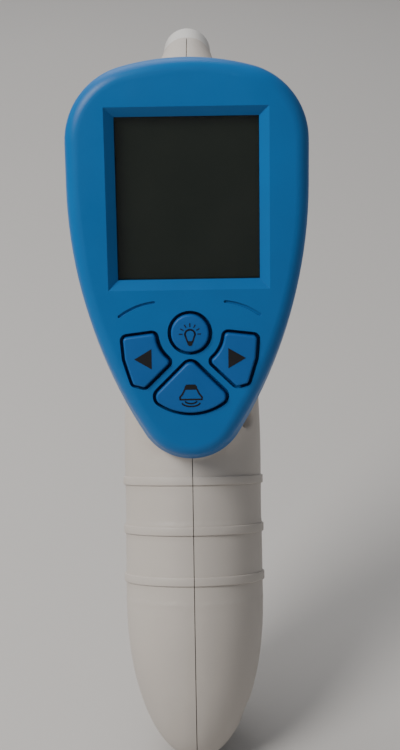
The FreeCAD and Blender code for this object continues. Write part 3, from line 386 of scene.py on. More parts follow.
def sliced(bm, where, way):
    """Cuts away what lies beyond a plane and returns the rim of the cut."""
    found = bmesh.ops.bisect_plane(bm, geom=bm.verts[:] + bm.edges[:] + bm.faces[:],
                                   dist=CUT_REACH, plane_co=where, plane_no=way, clear_outer=True)
    return [item for item in found["geom_cut"] if isinstance(item, bmesh.types.BMEdge)]


def shade(mesh, degrees):
    """Smooth shading with sharp edges above an angle."""
    bm = opened(mesh)
    limit = math.radians(degrees)
    for face in bm.faces:
        face.smooth = True
    for edge in bm.edges:
        edge.smooth = len(edge.link_faces) == 2 and edge.calc_face_angle(0.0) < limit
    bm.to_mesh(mesh)
    bm.free()


def piece(mesh, name, body, slot, replaced=(), look=None, degrees=32):
    """Links a finished mesh as a piece of a body; look is another slot's finish to wear."""
    mesh.name = name
    mesh.materials.clear()
    mesh.materials.append(finish(look or slot))
    if degrees:
        shade(mesh, degrees)
    obj = bpy.data.objects.new(name, mesh)
    bpy.context.scene.collection.objects.link(obj)
    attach(obj, body)
    if replaced:
        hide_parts(*replaced)
    return obj


def evaluated(mesh, setup):
    """A mesh after modifiers that a function adds to a scratch object."""
    obj = bpy.data.objects.new("scratch", mesh)
    bpy.context.scene.collection.objects.link(obj)
    setup(obj)
    graph = bpy.context.evaluated_depsgraph_get()
    made = bpy.data.meshes.new_from_object(obj.evaluated_get(graph))
    bpy.data.objects.remove(obj)
    return made


def regrid(mesh, spacing, smoothing=0):
    """A closed mesh rebuilt on an even grid."""
    def setup(obj):
        grid = obj.modifiers.new("Grid", "REMESH")
        grid.mode = "VOXEL"
        grid.voxel_size = spacing
        if smoothing:
            soft = obj.modifiers.new("Soft", "SMOOTH")
            soft.factor = 0.5
            soft.iterations = smoothing
    return evaluated(mesh, setup)


def rounded_copy(node_name, name, body, slot, width, segments=2, angle=38):
    """A CAD node's shape with its flat faces joined and its sharp edges rounded."""
    bm = merged(node_name)
    bmesh.ops.dissolve_limit(bm, angle_limit=math.radians(FLAT_ANGLE),
                             verts=bm.verts, edges=bm.edges)
    obj = piece(mesh_of(bm, name), name, body, slot, [node_name], degrees=40)
    bevel = obj.modifiers.new("Edges", "BEVEL")
    bevel.width = width
    bevel.segments = segments
    bevel.limit_method = "ANGLE"
    bevel.angle_limit = math.radians(angle)


def smooth_copy(node_name, name, body, slot, degrees=35):
    """A CAD node's shape, shaded smooth."""
    return piece(mesh_of(merged(node_name), name), name, body, slot, [node_name], degrees=degrees)


def coords_of(mesh):
    points = np.empty(len(mesh.vertices) * 3)
    mesh.vertices.foreach_get("co", points)
    return points.reshape(-1, 3)


# ---------------------------------------------------------------- generated pieces

def generated(name, mesh, build, values, mat):
    """Runs a Geometry Nodes tree with named inputs on a mesh and returns the plain result."""
    group = bpy.data.node_groups.new(name, "GeometryNodeTree")
    sockets = group.interface
    sockets.new_socket(name="Geometry", in_out="INPUT", socket_type="NodeSocketGeometry")
    idents = {key: sockets.new_socket(name=key, in_out="INPUT",
                                      socket_type="NodeSocketFloat").identifier
              for key in values}
    sockets.new_socket(name="Geometry", in_out="OUTPUT", socket_type="NodeSocketGeometry")
    made = build(group, node(group, "NodeGroupInput").outputs)
    real = node(group, "GeometryNodeRealizeInstances", Geometry=made)
    paint = node(group, "GeometryNodeSetMaterial", Geometry=real.outputs["Geometry"], Material=mat)
    node(group, "NodeGroupOutput", Geometry=paint.outputs["Geometry"])

    def setup(obj):
        modifier = obj.modifiers.new(name, "NODES")
        modifier.node_group = group
        for key, ident in idents.items():
            modifier[ident] = float(values[key])
    return evaluated(mesh, setup)


def line_of(group, amount, step):
    """As many points as an input says, each a step on from the last."""
    count = node(group, "FunctionNodeFloatToInt")
    plug(group, count.inputs[0], amount)
    return node(group, "GeometryNodeMeshLine", mode="OFFSET", Count=count.outputs[0],
                Offset=step).outputs["Mesh"]


def copies_on(group, points, item, **settings):
    return node(group, "GeometryNodeInstanceOnPoints", Points=points, Instance=item,
                **settings).outputs["Instances"]


# ---------------------------------------------------------------- case form

# The head's outline on the face, in millimetres: half width, top, height of the widest part
# and the radii of its arcs.
HEAD_HALF, HEAD_TOP, HEAD_WIDEST = 24.6, 14.8, -10.0
TOP_RADIUS, CORNER_RADIUS, FLANK_RADIUS, FOOT_RADIUS = 50.0, 15.0, 100.2, 11.5

# The grip's oval section and the lengths of its straight part and rounded tip, in millimetres.
GRIP_HALF_X, GRIP_HALF_Y = 15.25, 15.75
GRIP_LOW, TIP_LENGTH = -27.1, 34.7
TIP_ANGLES = (-80, -65, -48, -30, -14)

# Head rings: depth behind the face and inset. Barrel and neck rings: Y, Z, lean in degrees and
# half widths. All in millimetres.
HEAD_RINGS = [(9.0, 0.0), (15.0, 0.8), (21.0, 3.4), (25.0, 8.4)]
BARREL_RINGS = [(-62, -14, 15, 16, 22), (-50, -8.5, 7, 13.5, 17.3), (-40, -4.7, 0, 10.6, 12.2),
                (-29, -1.6, 0, 8.1, 8.6), (-20, -0.4, 0, 6.7, 6.9), (-12, 0, 0, 6, 6)]
NECK_RINGS = [(-62.7, -69.2, 27, 15.2, 15.6), (-57.9, -55, 14, 14.4, 14.5),
              (-56, -38, 4, 13.4, 13.5), (-55.2, -22, 0, 11.8, 12), (-54, -9, 0, 8, 8.4)]
OVAL_POINTS, RING_STEPS = 72, 6


def arc_points(cx, cy, radius, start, end, count):
    turns = np.radians(np.linspace(start, end, count, endpoint=False))
    return [(cx + radius * math.cos(t), cy + radius * math.sin(t)) for t in turns]


def egg(inset):
    """The head's egg-shaped outline in millimetres, shrunk evenly."""
    half, top_r, corner_r = HEAD_HALF - inset, TOP_RADIUS - inset, CORNER_RADIUS - inset
    flank_r, foot_r = FLANK_RADIUS - inset, FOOT_RADIUS - inset
    top_y = HEAD_TOP - TOP_RADIUS
    corner_x = half - corner_r
    corner_y = top_y + math.sqrt((top_r - corner_r) ** 2 - corner_x ** 2)
    flank_x = half - flank_r
    foot_y = HEAD_WIDEST - math.sqrt((flank_r - foot_r) ** 2 - flank_x ** 2)
    lean_top = math.degrees(math.atan2(corner_y - top_y, corner_x))
    lean_low = math.degrees(math.atan2(foot_y - HEAD_WIDEST, -flank_x))
    right = arc_points(flank_x, HEAD_WIDEST, flank_r, lean_low, 0, 20)
    right += [(half, HEAD_WIDEST + (corner_y - HEAD_WIDEST) * k / 4) for k in range(4)]
    right += arc_points(corner_x, corner_y, corner_r, 0, lean_top, 12)
    top = arc_points(0, top_y, top_r, lean_top, 90, 10)
    foot = arc_points(0, foot_y, foot_r, -90, lean_low, 10)
    side = foot + right + top
    left = [(-x, y) for x, y in reversed(side[1:])]
    return side + [(0.0, top_y + top_r)] + left


def oval(place, half_x, half_y):
    turns = np.radians(np.linspace(-90, 270, OVAL_POINTS, endpoint=False))
    return [on(place, half_x * math.cos(t), half_y * math.sin(t)) for t in turns]


def grip_oval(height, share=1.0):
    place = GRIP @ Matrix.Translation((0, 0, height * MM))
    return oval(place, GRIP_HALF_X * share, GRIP_HALF_Y * share)


def spot(y, z, lean):
    """A section's place in the middle plane, its normal turned about X."""
    return Matrix.Translation((0, y * MM, z * MM)) @ Matrix.Rotation(math.radians(lean), 4, "X")


def skinned(bm, rings):
    """A closed form through rings of points, curved smoothly between them."""
    rows = [np.array([list(p) for p in ring]) for ring in rings]
    fine = []
    for index in range(len(rows) - 1):
        before = rows[index - 1] if index else 2 * rows[0] - rows[1]
        after = rows[index + 2] if index + 2 < len(rows) else 2 * rows[-1] - rows[-2]
        a, b = rows[index], rows[index + 1]
        for step in range(RING_STEPS):
            t = step / RING_STEPS
            fine.append(0.5 * (2 * a + (b - before) * t
                               + (2 * before - 5 * a + 4 * b - after) * t * t
                               + (3 * a - before - 3 * b + after) * t ** 3))
    fine.append(rows[-1])
    loops = [[bm.verts.new(p) for p in ring] for ring in fine]
    count = len(loops[0])
    for low, high in zip(loops, loops[1:]):
        for k in range(count):
            bm.faces.new((low[k], low[(k + 1) % count], high[(k + 1) % count], high[k]))
    bm.faces.new(list(reversed(loops[0])))
    bm.faces.new(loops[-1])


def outer_form():
    """The case's outer form without its openings, as one even mesh."""
    bm = bmesh.new()
    skinned(bm, [[on(FACE, x, y, -depth) for x, y in egg(inset)] for depth, inset in HEAD_RINGS])
    skinned(bm, [oval(spot(y, z, -90 - lean), a, b) for y, z, lean, a, b in BARREL_RINGS])
    turns = [math.radians(angle) for angle in TIP_ANGLES]
    tip = [grip_oval(GRIP_LOW + TIP_LENGTH * math.sin(t), math.cos(t)) for t in turns]
    straight = [grip_oval(height) for height in (GRIP_LOW, GRIP_LOW / 2, 0)]
    necks = [oval(spot(y, z, -lean), a, b) for y, z, lean, a, b in NECK_RINGS]
    skinned(bm, tip + straight + necks)
    bmesh.ops.recalc_face_normals(bm, faces=bm.faces)
    return regrid(mesh_of(bm, "outer_form"), sizes().blend_grid)


# ---------------------------------------------------------------- blended creases

CREASE = math.radians(13)            # neighbouring points whose normals differ more are a crease
FACE_NORMAL = (-0.9659, 0.2588)      # Y and Z of the display face's outward direction
# Creases are softened only behind the face, behind the nose cap and above the battery bay.
BEHIND_FACE, NOSE_END, GRIP_TOP = -0.0125, -0.017, -0.085
REACH_ROUNDS, REACH_KEPT = 9, 0.93   # how far the softening reaches from a crease
EVEN_ROUNDS = 6                      # how often the reach is evened out
EASE = 0.6                           # how far a point moves towards its neighbours each round
STILL = 1e-5                         # points that moved less didn't move
FIELD_ROUNDS, FIELD_EDGE = 4, 0.003  # how far the field goes past the points that moved
FIELD_DEPTH, FIELD_FADE = 0.0052, 0.0022
FIELD_POINTS = 5                     # how many of the field's points a skin's point follows


def blend_field():
    """How far the outer form's points move when the creases between its parts are softened."""
    mesh = outer_form()
    points = coords_of(mesh)
    edges = np.empty(len(mesh.edges) * 2, int)
    mesh.edges.foreach_get("vertices", edges)
    a, b = edges.reshape(-1, 2).T
    normals = np.array([v.normal for v in mesh.vertices])
    count = len(points)
    degree = np.maximum(np.bincount(np.concatenate((a, b)), minlength=count), 1)
    bend = np.arccos(np.clip((normals[a] * normals[b]).sum(1), -1, 1))
    weight = np.zeros(count)
    np.maximum.at(weight, a, bend > CREASE)
    np.maximum.at(weight, b, bend > CREASE)
    rear = (points[:, 1] - FACE_Y) * FACE_NORMAL[0] + points[:, 2] * FACE_NORMAL[1]
    keep = (rear < BEHIND_FACE) & (points[:, 1] < NOSE_END) & (points[:, 2] > GRIP_TOP)
    weight *= keep
    for _ in range(REACH_ROUNDS):
        grown = weight.copy()
        np.maximum.at(grown, a, weight[b] * REACH_KEPT)
        np.maximum.at(grown, b, weight[a] * REACH_KEPT)
        weight = grown * keep
    for _ in range(EVEN_ROUNDS):
        total = np.bincount(a, weight[b], count) + np.bincount(b, weight[a], count)
        weight = 0.5 * weight + 0.5 * total / degree
    moved = points.copy()
    for _ in range(sizes().blend_rounds):
        total = np.stack([np.bincount(a, moved[b, k], count) + np.bincount(b, moved[a, k], count)
                          for k in range(3)], 1)
        moved += EASE * weight[:, None] * (total / degree[:, None] - moved)
    shift = moved - points
    near = np.linalg.norm(shift, axis=1) > STILL
    for _ in range(FIELD_ROUNDS):
        np.logical_or.at(near, a, near[b])
        np.logical_or.at(near, b, near[a])
    picked = np.nonzero(near)[0]
    tree = kdtree.KDTree(len(picked))
    for index, vert in enumerate(picked):
        tree.insert(points[vert], index)
    tree.balance()
    low, high = points[picked].min(0) - FIELD_EDGE, points[picked].max(0) + FIELD_EDGE
    return tree, shift[picked], low, high


def softened(points, field):
    """Points of a skin moved with the blended outer form; deep inside they stay."""
    tree, shift, low, high = field
    moved = points.copy()
    inside = np.nonzero(((points > low) & (points < high)).all(1))[0]
    for index in inside:
        found = tree.find_n(points[index], FIELD_POINTS)
        nearest = found[0][2]
        if nearest > FIELD_DEPTH:
            continue
        pull = np.array([1 / (distance + 1e-4) for _, _, distance in found])
        step = sum(shift[k] * w for (_, k, _), w in zip(found, pull)) / pull.sum()
        fade = min(1.0, max(0.0, (FIELD_DEPTH - nearest) / FIELD_FADE))
        moved[index] += step * fade
    return moved


# ---------------------------------------------------------------- case pieces

RIB_ZONE = (-0.026, 0.0022)     # where the grip's bands are, along its axis
RIB_SUNK = 0.0002               # how deep each band is sunk into the grip
COVER_FRONT = 0.0040            # where the case's bands end, in front of the grip's axis
COVER_GAP = 0.00012             # gap between them and the battery cover's bands
SEAM_ZONE, SEAM_SPARE = 0.00016, 0.0013


def without_ribs(points):
    """Grip skin points brought down to the plain oval that the separate bands sit on."""
    local = GRIP.inverted()
    inside = points @ np.array(local.to_3x3()).T + np.array(local.translation)
    ratio = np.hypot(inside[:, 0] / (GRIP_HALF_X * MM), inside[:, 1] / (GRIP_HALF_Y * MM))
    high = (ratio > 1) & (inside[:, 2] > RIB_ZONE[0]) & (inside[:, 2] < RIB_ZONE[1])
    inside[high, 0] /= ratio[high]
    inside[high, 1] /= ratio[high]
    return inside @ np.array(GRIP.to_3x3()).T + np.array(GRIP.translation)


def skin(bm, name, field):
    """A case part's shape on an even grid, with blended creases and a plain grip."""
    mesh = regrid(mesh_of(bm, name), sizes().skin_grid, 2)
    mesh.vertices.foreach_set("co", softened(without_ribs(coords_of(mesh)), field).ravel())
    mesh.update()
    return mesh


def cut_flat(bm, x, side):
    """Cuts a half at the seam plane and closes the cut."""
    rim = sliced(bm, (x, 0, 0), (-side, 0, 0))
    filled = bmesh.ops.triangle_fill(bm, use_beauty=True, use_dissolve=False, edges=rim)
    for item in filled["geom"]:
        if isinstance(item, bmesh.types.BMFace):
            item.normal_update()
            if item.normal.x * side > 0:
                item.normal_flip()


def ring_row(group, given):
    """Equal rings down local Z, each a flat band with rounded shoulders swept round an oval."""
    circle = node(group, "GeometryNodeCurvePrimitiveCircle", Resolution=160, Radius=1.0)
    flat = node(group, "GeometryNodeTransform", Geometry=circle.outputs["Curve"],
                Scale=vector_of(group, given["Half width"], given["Half depth"], 1.0))
    band = node(group, "GeometryNodeCurvePrimitiveQuadrilateral", Width=given["Height"],
                Height=given["Band"])
    soft = node(group, "GeometryNodeFilletCurve", mode="POLY", Count=4,
                Curve=band.outputs["Curve"], Radius=given["Shoulder"])
    swept = node(group, "GeometryNodeCurveToMesh", Curve=flat.outputs["Geometry"],
                 Profile_Curve=soft.outputs["Curve"])
    drop = vector_of(group, 0.0, 0.0, maths(group, "MULTIPLY", given["Pitch"], -1))
    return copies_on(group, line_of(group, given["Rings"], drop), swept.outputs["Mesh"])


def grip_rings():
    """Three raised bands round the grip, cut into a piece for each half and for the cover."""
    values = {"Rings": 3, "Pitch": sizes().rib_pitch, "Half width": GRIP_HALF_X * MM - RIB_SUNK,
              "Half depth": GRIP_HALF_Y * MM - RIB_SUNK,
              "Height": 2 * (sizes().rib_proud + RIB_SUNK), "Band": sizes().rib_wide,
              "Shoulder": sizes().rib_shoulder}
    made = generated("Grip rings", bpy.data.meshes.new("rings"), ring_row, values,
                     finish("case_white"))
    gap = sizes().seam / 2
    behind = ((0, COVER_FRONT, 0), (0, 1, 0))
    cuts = {
        "grip_bands_left": ("case", [((-gap, 0, 0), (1, 0, 0)), behind]),
        "grip_bands_right": ("case", [((gap, 0, 0), (-1, 0, 0)), behind]),
        "grip_bands_cover": ("battery_door", [((0, COVER_FRONT + COVER_GAP, 0), (0, -1, 0))]),
    }
    for name, (body, planes) in cuts.items():
        bm = opened(made)
        for where, way in planes:
            bmesh.ops.holes_fill(bm, edges=sliced(bm, where, way))
        bmesh.ops.recalc_face_normals(bm, faces=bm.faces)
        bm.transform(GRIP)
        piece(mesh_of(bm, name), name, body, "case_white", degrees=50)


class THERMOMETER_OT_case(bpy.types.Operator):
    """Case halves and battery cover, with the head, barrel and neck flowing into each other"""

    bl_idname = "thermometer.case"
    bl_label = "Case halves and battery cover"

    def execute(self, context):
        field = blend_field()
        gap = sizes().seam / 2
        for node_name, name, side in (("left_housing", "case_left", -1),
                                      ("right_housing", "case_right", 1)):
            bm = merged(node_name)
            for vert in bm.verts:
                if vert.co.x * side < SEAM_ZONE:
                    vert.co.x = -side * SEAM_SPARE
            bm = opened(skin(bm, name, field))
            cut_flat(bm, side * gap, side)
            piece(mesh_of(bm, name), name, "case", "case_white", [node_name], degrees=50)
        cover = skin(merged("battery_door"), "battery_cover", field)
        piece(cover, "battery_cover", "battery_door", "case_white", ["battery_door"], degrees=50)
        grip_rings()
        return {"FINISHED"}


# ---------------------------------------------------------------- display and keys

class THERMOMETER_OT_display(bpy.types.Operator):
    """Display bezel with softened edges"""

    bl_idname = "thermometer.display"
    bl_label = "Display bezel"

    def execute(self, context):
        rounded_copy("display_bezel", "bezel_shell", "case", "bezel_blue", 0.0002)
        return {"FINISHED"}


# The key symbols on the face, in millimetres: the keys' top, how deep the ink is sunk, and the
# outlines.
KEY_TOP, INK_SUNK = 0.8, 0.03
LAMP_CENTRE, LAMP_WIDE, LAMP_TALL = -39.35, 1.0, 0.95
LAMP_NECK = ((-0.5, -40.9), (0.5, -40.9))
LAMP_CAP = [(-0.62, -40.75), (-0.48, -41.45), (-0.2, -41.72), (0.2, -41.72), (0.48, -41.45),
            (0.62, -40.75)]
LAMP_RAYS = {"Rays": 7, "Spread": math.radians(180), "Radius": 1.85 * MM, "Width": 0.2 * MM,
             "Length": 0.72 * MM, "Height": 0.08 * MM}
RAY_CENTRE, RAY_LIFT = -39.3, 0.01
BELL_CROWN = [(-1.35, -50.7), (1.35, -50.7), (1.2, -50.0), (0.9, -49.65), (-0.9, -49.65),
              (-1.2, -50.0)]
BELL_BODY = [(-1.25, -50.7), (-1.7, -51.6), (-2.25, -52.3), (-2.2, -52.75), (2.2, -52.75),
             (2.25, -52.3), (1.7, -51.6), (1.25, -50.7)]
BELL_WAVES = ((1.15, -53.1, 0.5), (1.8, -53.45, 0.75))
ARROWS = {"left_key": [(-11.3, -44.33), (-7.8, -46.4), (-7.8, -42.25)],
          "right_key": [(7.65, -42.25), (7.65, -46.4), (11.2, -44.33)]}


def plate(bm, outline):
    """A thin printed plate on a key's top, of an outline given in millimetres."""
    low, high = KEY_TOP - INK_SUNK, KEY_TOP + sizes().print_thick / MM
    count = len(outline)
    bottom = [bm.verts.new(on(FACE, x, y, low)) for x, y in outline]
    top = [bm.verts.new(on(FACE, x, y, high)) for x, y in outline]
    bm.faces.new(list(reversed(bottom)))
    bm.faces.new(top)
    for k in range(count):
        bm.faces.new((bottom[k], bottom[(k + 1) % count], top[(k + 1) % count], top[k]))


def printed_line(bm, points, share=1.0):
    """A printed band along a line of points, with a share of the usual width."""
    width = sizes().stroke / MM * share
    spots = [Vector(p) for p in points]
    for a, b in zip(spots, spots[1:]):
        run = (b - a).normalized()
        across = Vector((-run.y, run.x)) * width / 2
        ahead = run * width * 0.3
        plate(bm, [tuple(p) for p in (a - ahead - across, b + ahead - across, b + ahead + across,
                                      a - ahead + across)])


def light_symbol(bm):
    """A lamp: a ring-shaped bulb narrowing to a dark cap."""
    turns = [math.radians(t) for t in range(-120, 121, 15)]
    bulb = [(LAMP_WIDE * math.sin(t), LAMP_CENTRE + LAMP_TALL * math.cos(t)) for t in turns]
    printed_line(bm, [LAMP_NECK[0], *bulb, LAMP_NECK[1]])
    plate(bm, LAMP_CAP)


def bell_symbol(bm):
    """A bell: dark crown, open body and two curved lines under it."""
    plate(bm, BELL_CROWN)
    printed_line(bm, BELL_BODY)
    turns = [math.radians(t) for t in range(-85, 86, 17)]
    for half, top, drop in BELL_WAVES:
        printed_line(bm, [(half * math.sin(t), top - drop * math.cos(t)) for t in turns], 0.9)


def ray_fan(group, given):
    """Thin bars set at equal turns round an arc, pointing outwards."""
    line = line_of(group, given["Rays"], (0, 0, 0))
    index = node(group, "GeometryNodeInputIndex").outputs[0]
    share = maths(group, "DIVIDE", index, maths(group, "SUBTRACT", given["Rays"], 1))
    turn = maths(group, "ADD", maths(group, "MULTIPLY", share, given["Spread"]),
                 maths(group, "MULTIPLY", given["Spread"], -0.5))
    x = maths(group, "MULTIPLY", maths(group, "SINE", turn), given["Radius"])
    y = maths(group, "MULTIPLY", maths(group, "COSINE", turn), given["Radius"])
    spots = node(group, "GeometryNodeSetPosition", Geometry=line,
                 Position=vector_of(group, x, y, 0.0))
    bar = node(group, "GeometryNodeMeshCube",
               Size=vector_of(group, given["Width"], given["Length"], given["Height"]))
    return copies_on(group, spots.outputs["Geometry"], bar.outputs["Mesh"],
                     Rotation=vector_of(group, 0.0, 0.0, maths(group, "MULTIPLY", turn, -1)))


class THERMOMETER_OT_keys(bpy.types.Operator):
    """Four key caps and their printed symbols, which travel with them"""

    bl_idname = "thermometer.keys"
    bl_label = "Keys and key prints"

    def execute(self, context):
        for key in ("light_key", "left_key", "right_key", "sound_key"):
            smooth_copy(key, key + "_cap", key, "key_blue", 40)
        prints = {key: bmesh.new() for key in ("left_key", "right_key", "light_key", "sound_key")}
        for key, corners in ARROWS.items():
            plate(prints[key], corners)
        for key, draw in (("light_key", light_symbol), ("sound_key", bell_symbol)):
            draw(prints[key])
            bmesh.ops.recalc_face_normals(prints[key], faces=prints[key].faces)
        for key, bm in prints.items():
            piece(mesh_of(bm, key), key + "_print", key, "black_plastic", look="print_black",
                  degrees=0)
        rays = generated("Lamp rays", bpy.data.meshes.new("rays"), ray_fan, LAMP_RAYS,
                         finish("print_black"))
        rays.transform(FACE @ Matrix.Translation((0, RAY_CENTRE * MM, (KEY_TOP + RAY_LIFT) * MM)))
        piece(rays, "light_key_rays", "light_key", "black_plastic", look="print_black", degrees=0)
        return {"FINISHED"}


# ---------------------------------------------------------------- nose, trigger, screws

class THERMOMETER_OT_nose(bpy.types.Operator):
    """Nose cap, its brass sleeve and the heat sensor behind its aperture"""

    bl_idname = "thermometer.nose"
    bl_label = "Nose and sensor"

    def execute(self, context):
        smooth_copy("nose_cap", "nose_tip", "case", "nose_white")
        smooth_copy("sensor_sleeve", "brass_sleeve", "case", "brass")
        smooth_copy("thermopile", "heat_sensor_can", "case", "nickel")
        smooth_copy("sensor_cable", "sensor_lead", "case", "lead_grey", 50)
        return {"FINISHED"}


class THERMOMETER_OT_trigger(bpy.types.Operator):
    """Finger lever with rounded edges, its pin and its spring"""

    bl_idname = "thermometer.trigger"
    bl_label = "Trigger"

    def execute(self, context):
        rounded_copy("trigger", "finger_lever", "trigger", "trigger_blue",
                     sizes().trigger_round, 4, 35)
        smooth_copy("trigger_pin", "lever_pin", "case", "steel")
        spring = smooth_copy("trigger_spring", "lever_spring", "case", "steel", 60)
        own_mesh(spring)
        return {"FINISHED"}


# Y, Z and the depth of each case screw's head, in millimetres.
SCREWS = [(-36.0, -9.0, 5.0), (-57.0, -20.0, 8.0), (-70.4, -63.8, 9.0), (-95.6, -124.0, 5.0)]
SHANK_RADIUS, SHANK_SHORT = 0.001, 0.5
# Turns local Z to the object's X.
ACROSS = Matrix(((0, 0, 1, 0), (0, 1, 0, 0), (1, 0, 0, 0), (0, 0, 0, 1)))


def screw_set(group, given):
    """Heads with a cross recess, and shanks as long as each point says, along local Z."""
    deep, wide = given["Head height"], given["Recess"]
    head = node(group, "GeometryNodeMeshCylinder", Vertices=40, Radius=given["Head radius"],
                Depth=deep)
    bars = node(group, "GeometryNodeJoinGeometry")
    span = maths(group, "MULTIPLY", given["Head radius"], 1.1)
    for x, y in ((span, wide), (wide, span)):
        bar = node(group, "GeometryNodeMeshCube", Size=vector_of(group, x, y, deep))
        lift = vector_of(group, 0.0, 0.0, maths(group, "MULTIPLY", deep, 0.55))
        raised = node(group, "GeometryNodeTransform", Geometry=bar.outputs["Mesh"],
                      Translation=lift)
        feed(group, bars, Geometry=raised.outputs["Geometry"])
    cut = node(group, "GeometryNodeMeshBoolean", operation="DIFFERENCE",
               Mesh_1=head.outputs["Mesh"], Mesh_2=bars.outputs["Geometry"])
    shank = node(group, "GeometryNodeMeshCylinder", Vertices=24, Depth=1.0,
                 Radius=given["Shank radius"])
    hung = node(group, "GeometryNodeTransform", Geometry=shank.outputs["Mesh"],
                Translation=(0, 0, -0.5))
    reach = node(group, "GeometryNodeInputNamedAttribute", data_type="FLOAT", Name="reach")
    long = vector_of(group, 1.0, 1.0, reach.outputs["Attribute"])
    joined = node(group, "GeometryNodeJoinGeometry")
    for copies in (copies_on(group, given["Geometry"], cut.outputs["Mesh"]),
                   copies_on(group, given["Geometry"], hung.outputs["Geometry"], Scale=long)):
        feed(group, joined, Geometry=copies)
    return joined.outputs["Geometry"]


class THERMOMETER_OT_screws(bpy.types.Operator):
    """Four case screws with cross recesses, set in their wells on the right side"""

    bl_idname = "thermometer.screws"
    bl_label = "Case screws"

    def execute(self, context):
        height = sizes().screw_height
        points = bpy.data.meshes.new("screw_points")
        points.from_pydata([(z * MM, y * MM, depth * MM + height / 2) for y, z, depth in SCREWS],
                           [], [])
        reach = points.attributes.new("reach", "FLOAT", "POINT")
        for item, (_, _, depth) in zip(reach.data, SCREWS):
            item.value = (2 * depth - SHANK_SHORT) * MM
        values = {"Head radius": sizes().screw_radius, "Head height": height,
                  "Recess": sizes().recess, "Shank radius": SHANK_RADIUS}
        made = generated("Cross-head screws", points, screw_set, values, finish("steel"))
        made.transform(ACROSS)
        bm = opened(made)
        bmesh.ops.recalc_face_normals(bm, faces=bm.faces)
        piece(mesh_of(bm, "screws"), "case_screws", "case", "steel", ["housing_screws"],
              degrees=35)
        return {"FINISHED"}


# ---------------------------------------------------------------- power and boards

class THERMOMETER_OT_power(bpy.types.Operator):
    """Cells, their springs, leads and tray"""

    bl_idname = "thermometer.power"
    bl_label = "Cells and contacts"

    def execute(self, context):
        smooth_copy("battery_left", "cell_left", "case", "cell_skin")
        smooth_copy("battery_right", "cell_right", "case", "cell_skin")
        smooth_copy("battery_springs", "cell_springs", "case", "nickel", 60)
        smooth_copy("battery_lead_red", "red_lead", "case", "lead_red", 60)
        smooth_copy("battery_lead_black", "black_lead", "case", "lead_black", 60)
        rounded_copy("battery_tray", "cell_tray", "case", "tray_grey", 0.00015)
        return {"FINISHED"}


CARRIED = {
    "display_window": "window_clear", "lcd_panel": "lcd_glass", "lcd_backlight": "diffuser",
    "lcd_contact_strip": "silicone", "main_board": "board_green", "board_chips": "chip_black",
    "board_sockets": "socket_cream", "board_screws": "steel", "key_domes": "steel",
    "buzzer": "black_plastic", "battery_contacts": "nickel", "thermopile_pins": "gold",
    "sensor_window": "filter_dark", "sensor_board": "board_green",
    "trigger_switch": "black_plastic", "switch_plunger": "socket_cream",
    "switch_board": "board_green", "switch_lead": "lead_black",
}


class THERMOMETER_OT_electronics(bpy.types.Operator):
    """Finishes on the boards, chips, display layers and switch carried over from the frame"""

    bl_idname = "thermometer.electronics"
    bl_label = "Boards and electronics"

    def execute(self, context):
        for name, slot in CARRIED.items():
            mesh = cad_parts[name].data
            mesh.materials.clear()
            mesh.materials.append(finish(slot))
        return {"FINISHED"}


# ---------------------------------------------------------------- stage

FLOOR_REACH, FLOOR_GAP = 4.0, 0.0002
# Each soft light's place, size, power and tint, and the point that they all face.
LIGHTS = {
    "key_light": ((-0.42, -0.33, 0.42), 0.3, 4.6, (1.0, 0.985, 0.96)),
    "top_fill": ((-0.25, 0.45, 0.85), 0.8, 6.0, (1, 1, 1)),
    "right_fill": ((0.9, -0.5, 0.35), 0.8, 0.4, (0.93, 0.96, 1.0)),
    "front_fill": ((-0.2, 0.9, 0.4), 0.9, 1.2, (1, 1, 1)),
}
LIGHT_TARGET = (0, -0.065, -0.05)
SKY, SKY_STRENGTH = (0.92, 0.95, 1.0, 1), 0.24
CAMERA_PLACE, CAMERA_TILT, CAMERA_ROLL = (0.0019, -0.3141, 0.0709), 63, -0.9
CAMERA_LENS, CAMERA_SENSOR, CAMERA_NEAR = 61.2, 36.0, 0.01


def area_light(name, place, size, power, tint):
    data = bpy.data.lights.new(name, "AREA")
    data.shape = "DISK"
    data.size = size
    data.energy = power
    data.color = tint
    obj = bpy.data.objects.new(name, data)
    aim = (Vector(LIGHT_TARGET) - Vector(place)).to_track_quat("-Z", "Y")
    obj.matrix_world = Matrix.Translation(place) @ aim.to_matrix().to_4x4()
    bpy.context.scene.collection.objects.link(obj)


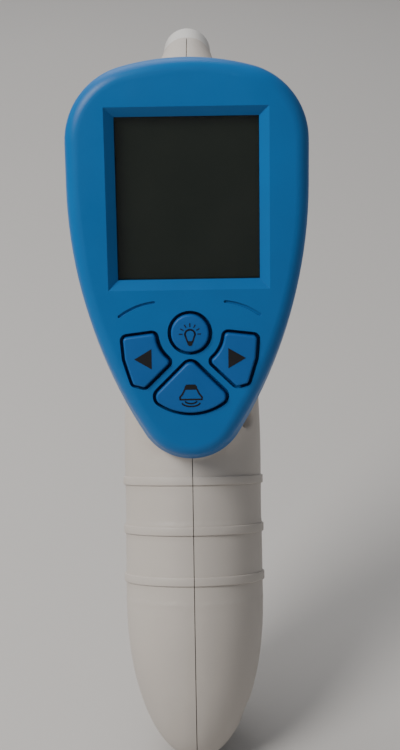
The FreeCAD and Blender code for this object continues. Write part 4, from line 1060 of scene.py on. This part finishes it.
class THERMOMETER_OT_stage(bpy.types.Operator):
    """Pale floor, soft lights and the camera"""

    bl_idname = "thermometer.stage"
    bl_label = "Stage"

    def execute(self, context):
        bm = bmesh.new()
        bm.faces.new([bm.verts.new((x * FLOOR_REACH, y * FLOOR_REACH, CAD_LOW.z - FLOOR_GAP))
                      for x, y in ((-1, -1), (1, -1), (1, 1), (-1, 1))])
        floor = bpy.data.objects.new("floor", mesh_of(bm, "floor"))
        floor.data.materials.append(studio_floor())
        context.scene.collection.objects.link(floor)
        for name, settings in LIGHTS.items():
            area_light(name, *settings)
        world = bpy.data.worlds.new("studio")
        world.use_nodes = True
        feed(world.node_tree, world.node_tree.nodes["Background"], Color=SKY,
             Strength=SKY_STRENGTH)
        context.scene.world = world
        data = bpy.data.cameras.new("camera")
        data.sensor_fit = "VERTICAL"
        data.sensor_height = CAMERA_SENSOR
        data.lens = CAMERA_LENS
        data.clip_start = CAMERA_NEAR
        camera = bpy.data.objects.new("camera", data)
        camera.matrix_world = (Matrix.Translation(CAMERA_PLACE)
                               @ Matrix.Rotation(math.radians(CAMERA_TILT), 4, "X")
                               @ Matrix.Rotation(math.radians(CAMERA_ROLL), 4, "Z"))
        context.scene.collection.objects.link(camera)
        context.scene.camera = camera
        return {"FINISHED"}


# ---------------------------------------------------------------- panel and registration

STEPS = (THERMOMETER_OT_stage, THERMOMETER_OT_case, THERMOMETER_OT_display, THERMOMETER_OT_keys,
         THERMOMETER_OT_nose, THERMOMETER_OT_trigger, THERMOMETER_OT_screws,
         THERMOMETER_OT_power, THERMOMETER_OT_electronics)


class THERMOMETER_PT_panel(bpy.types.Panel):
    """Sizes, colours and making steps of the thermometer"""

    bl_idname = "THERMOMETER_PT_panel"
    bl_label = "Infrared thermometer"
    bl_space_type = "VIEW_3D"
    bl_region_type = "UI"
    bl_category = "Thermometer"

    def draw(self, context):
        scene = context.scene
        for group in (scene.thermometer_sizes, scene.thermometer_colours):
            box = self.layout.box()
            for name in group.__annotations__:
                box.prop(group, name)
        for step in STEPS:
            self.layout.operator(step.bl_idname)


CLASSES = (ThermometerSizes, ThermometerColours, *STEPS, THERMOMETER_PT_panel)


def register():
    for item in CLASSES:
        bpy.utils.register_class(item)
    bpy.types.Scene.thermometer_sizes = PointerProperty(type=ThermometerSizes)
    bpy.types.Scene.thermometer_colours = PointerProperty(type=ThermometerColours)


def unregister():
    del bpy.types.Scene.thermometer_colours
    del bpy.types.Scene.thermometer_sizes
    for item in reversed(CLASSES):
        bpy.utils.unregister_class(item)


def main():
    register()
    bpy.ops.thermometer.stage()
    bpy.ops.thermometer.case()
    bpy.ops.thermometer.display()
    bpy.ops.thermometer.keys()
    bpy.ops.thermometer.nose()
    bpy.ops.thermometer.trigger()
    bpy.ops.thermometer.screws()
    bpy.ops.thermometer.power()
    bpy.ops.thermometer.electronics()


if __name__ == "__main__":
    main()
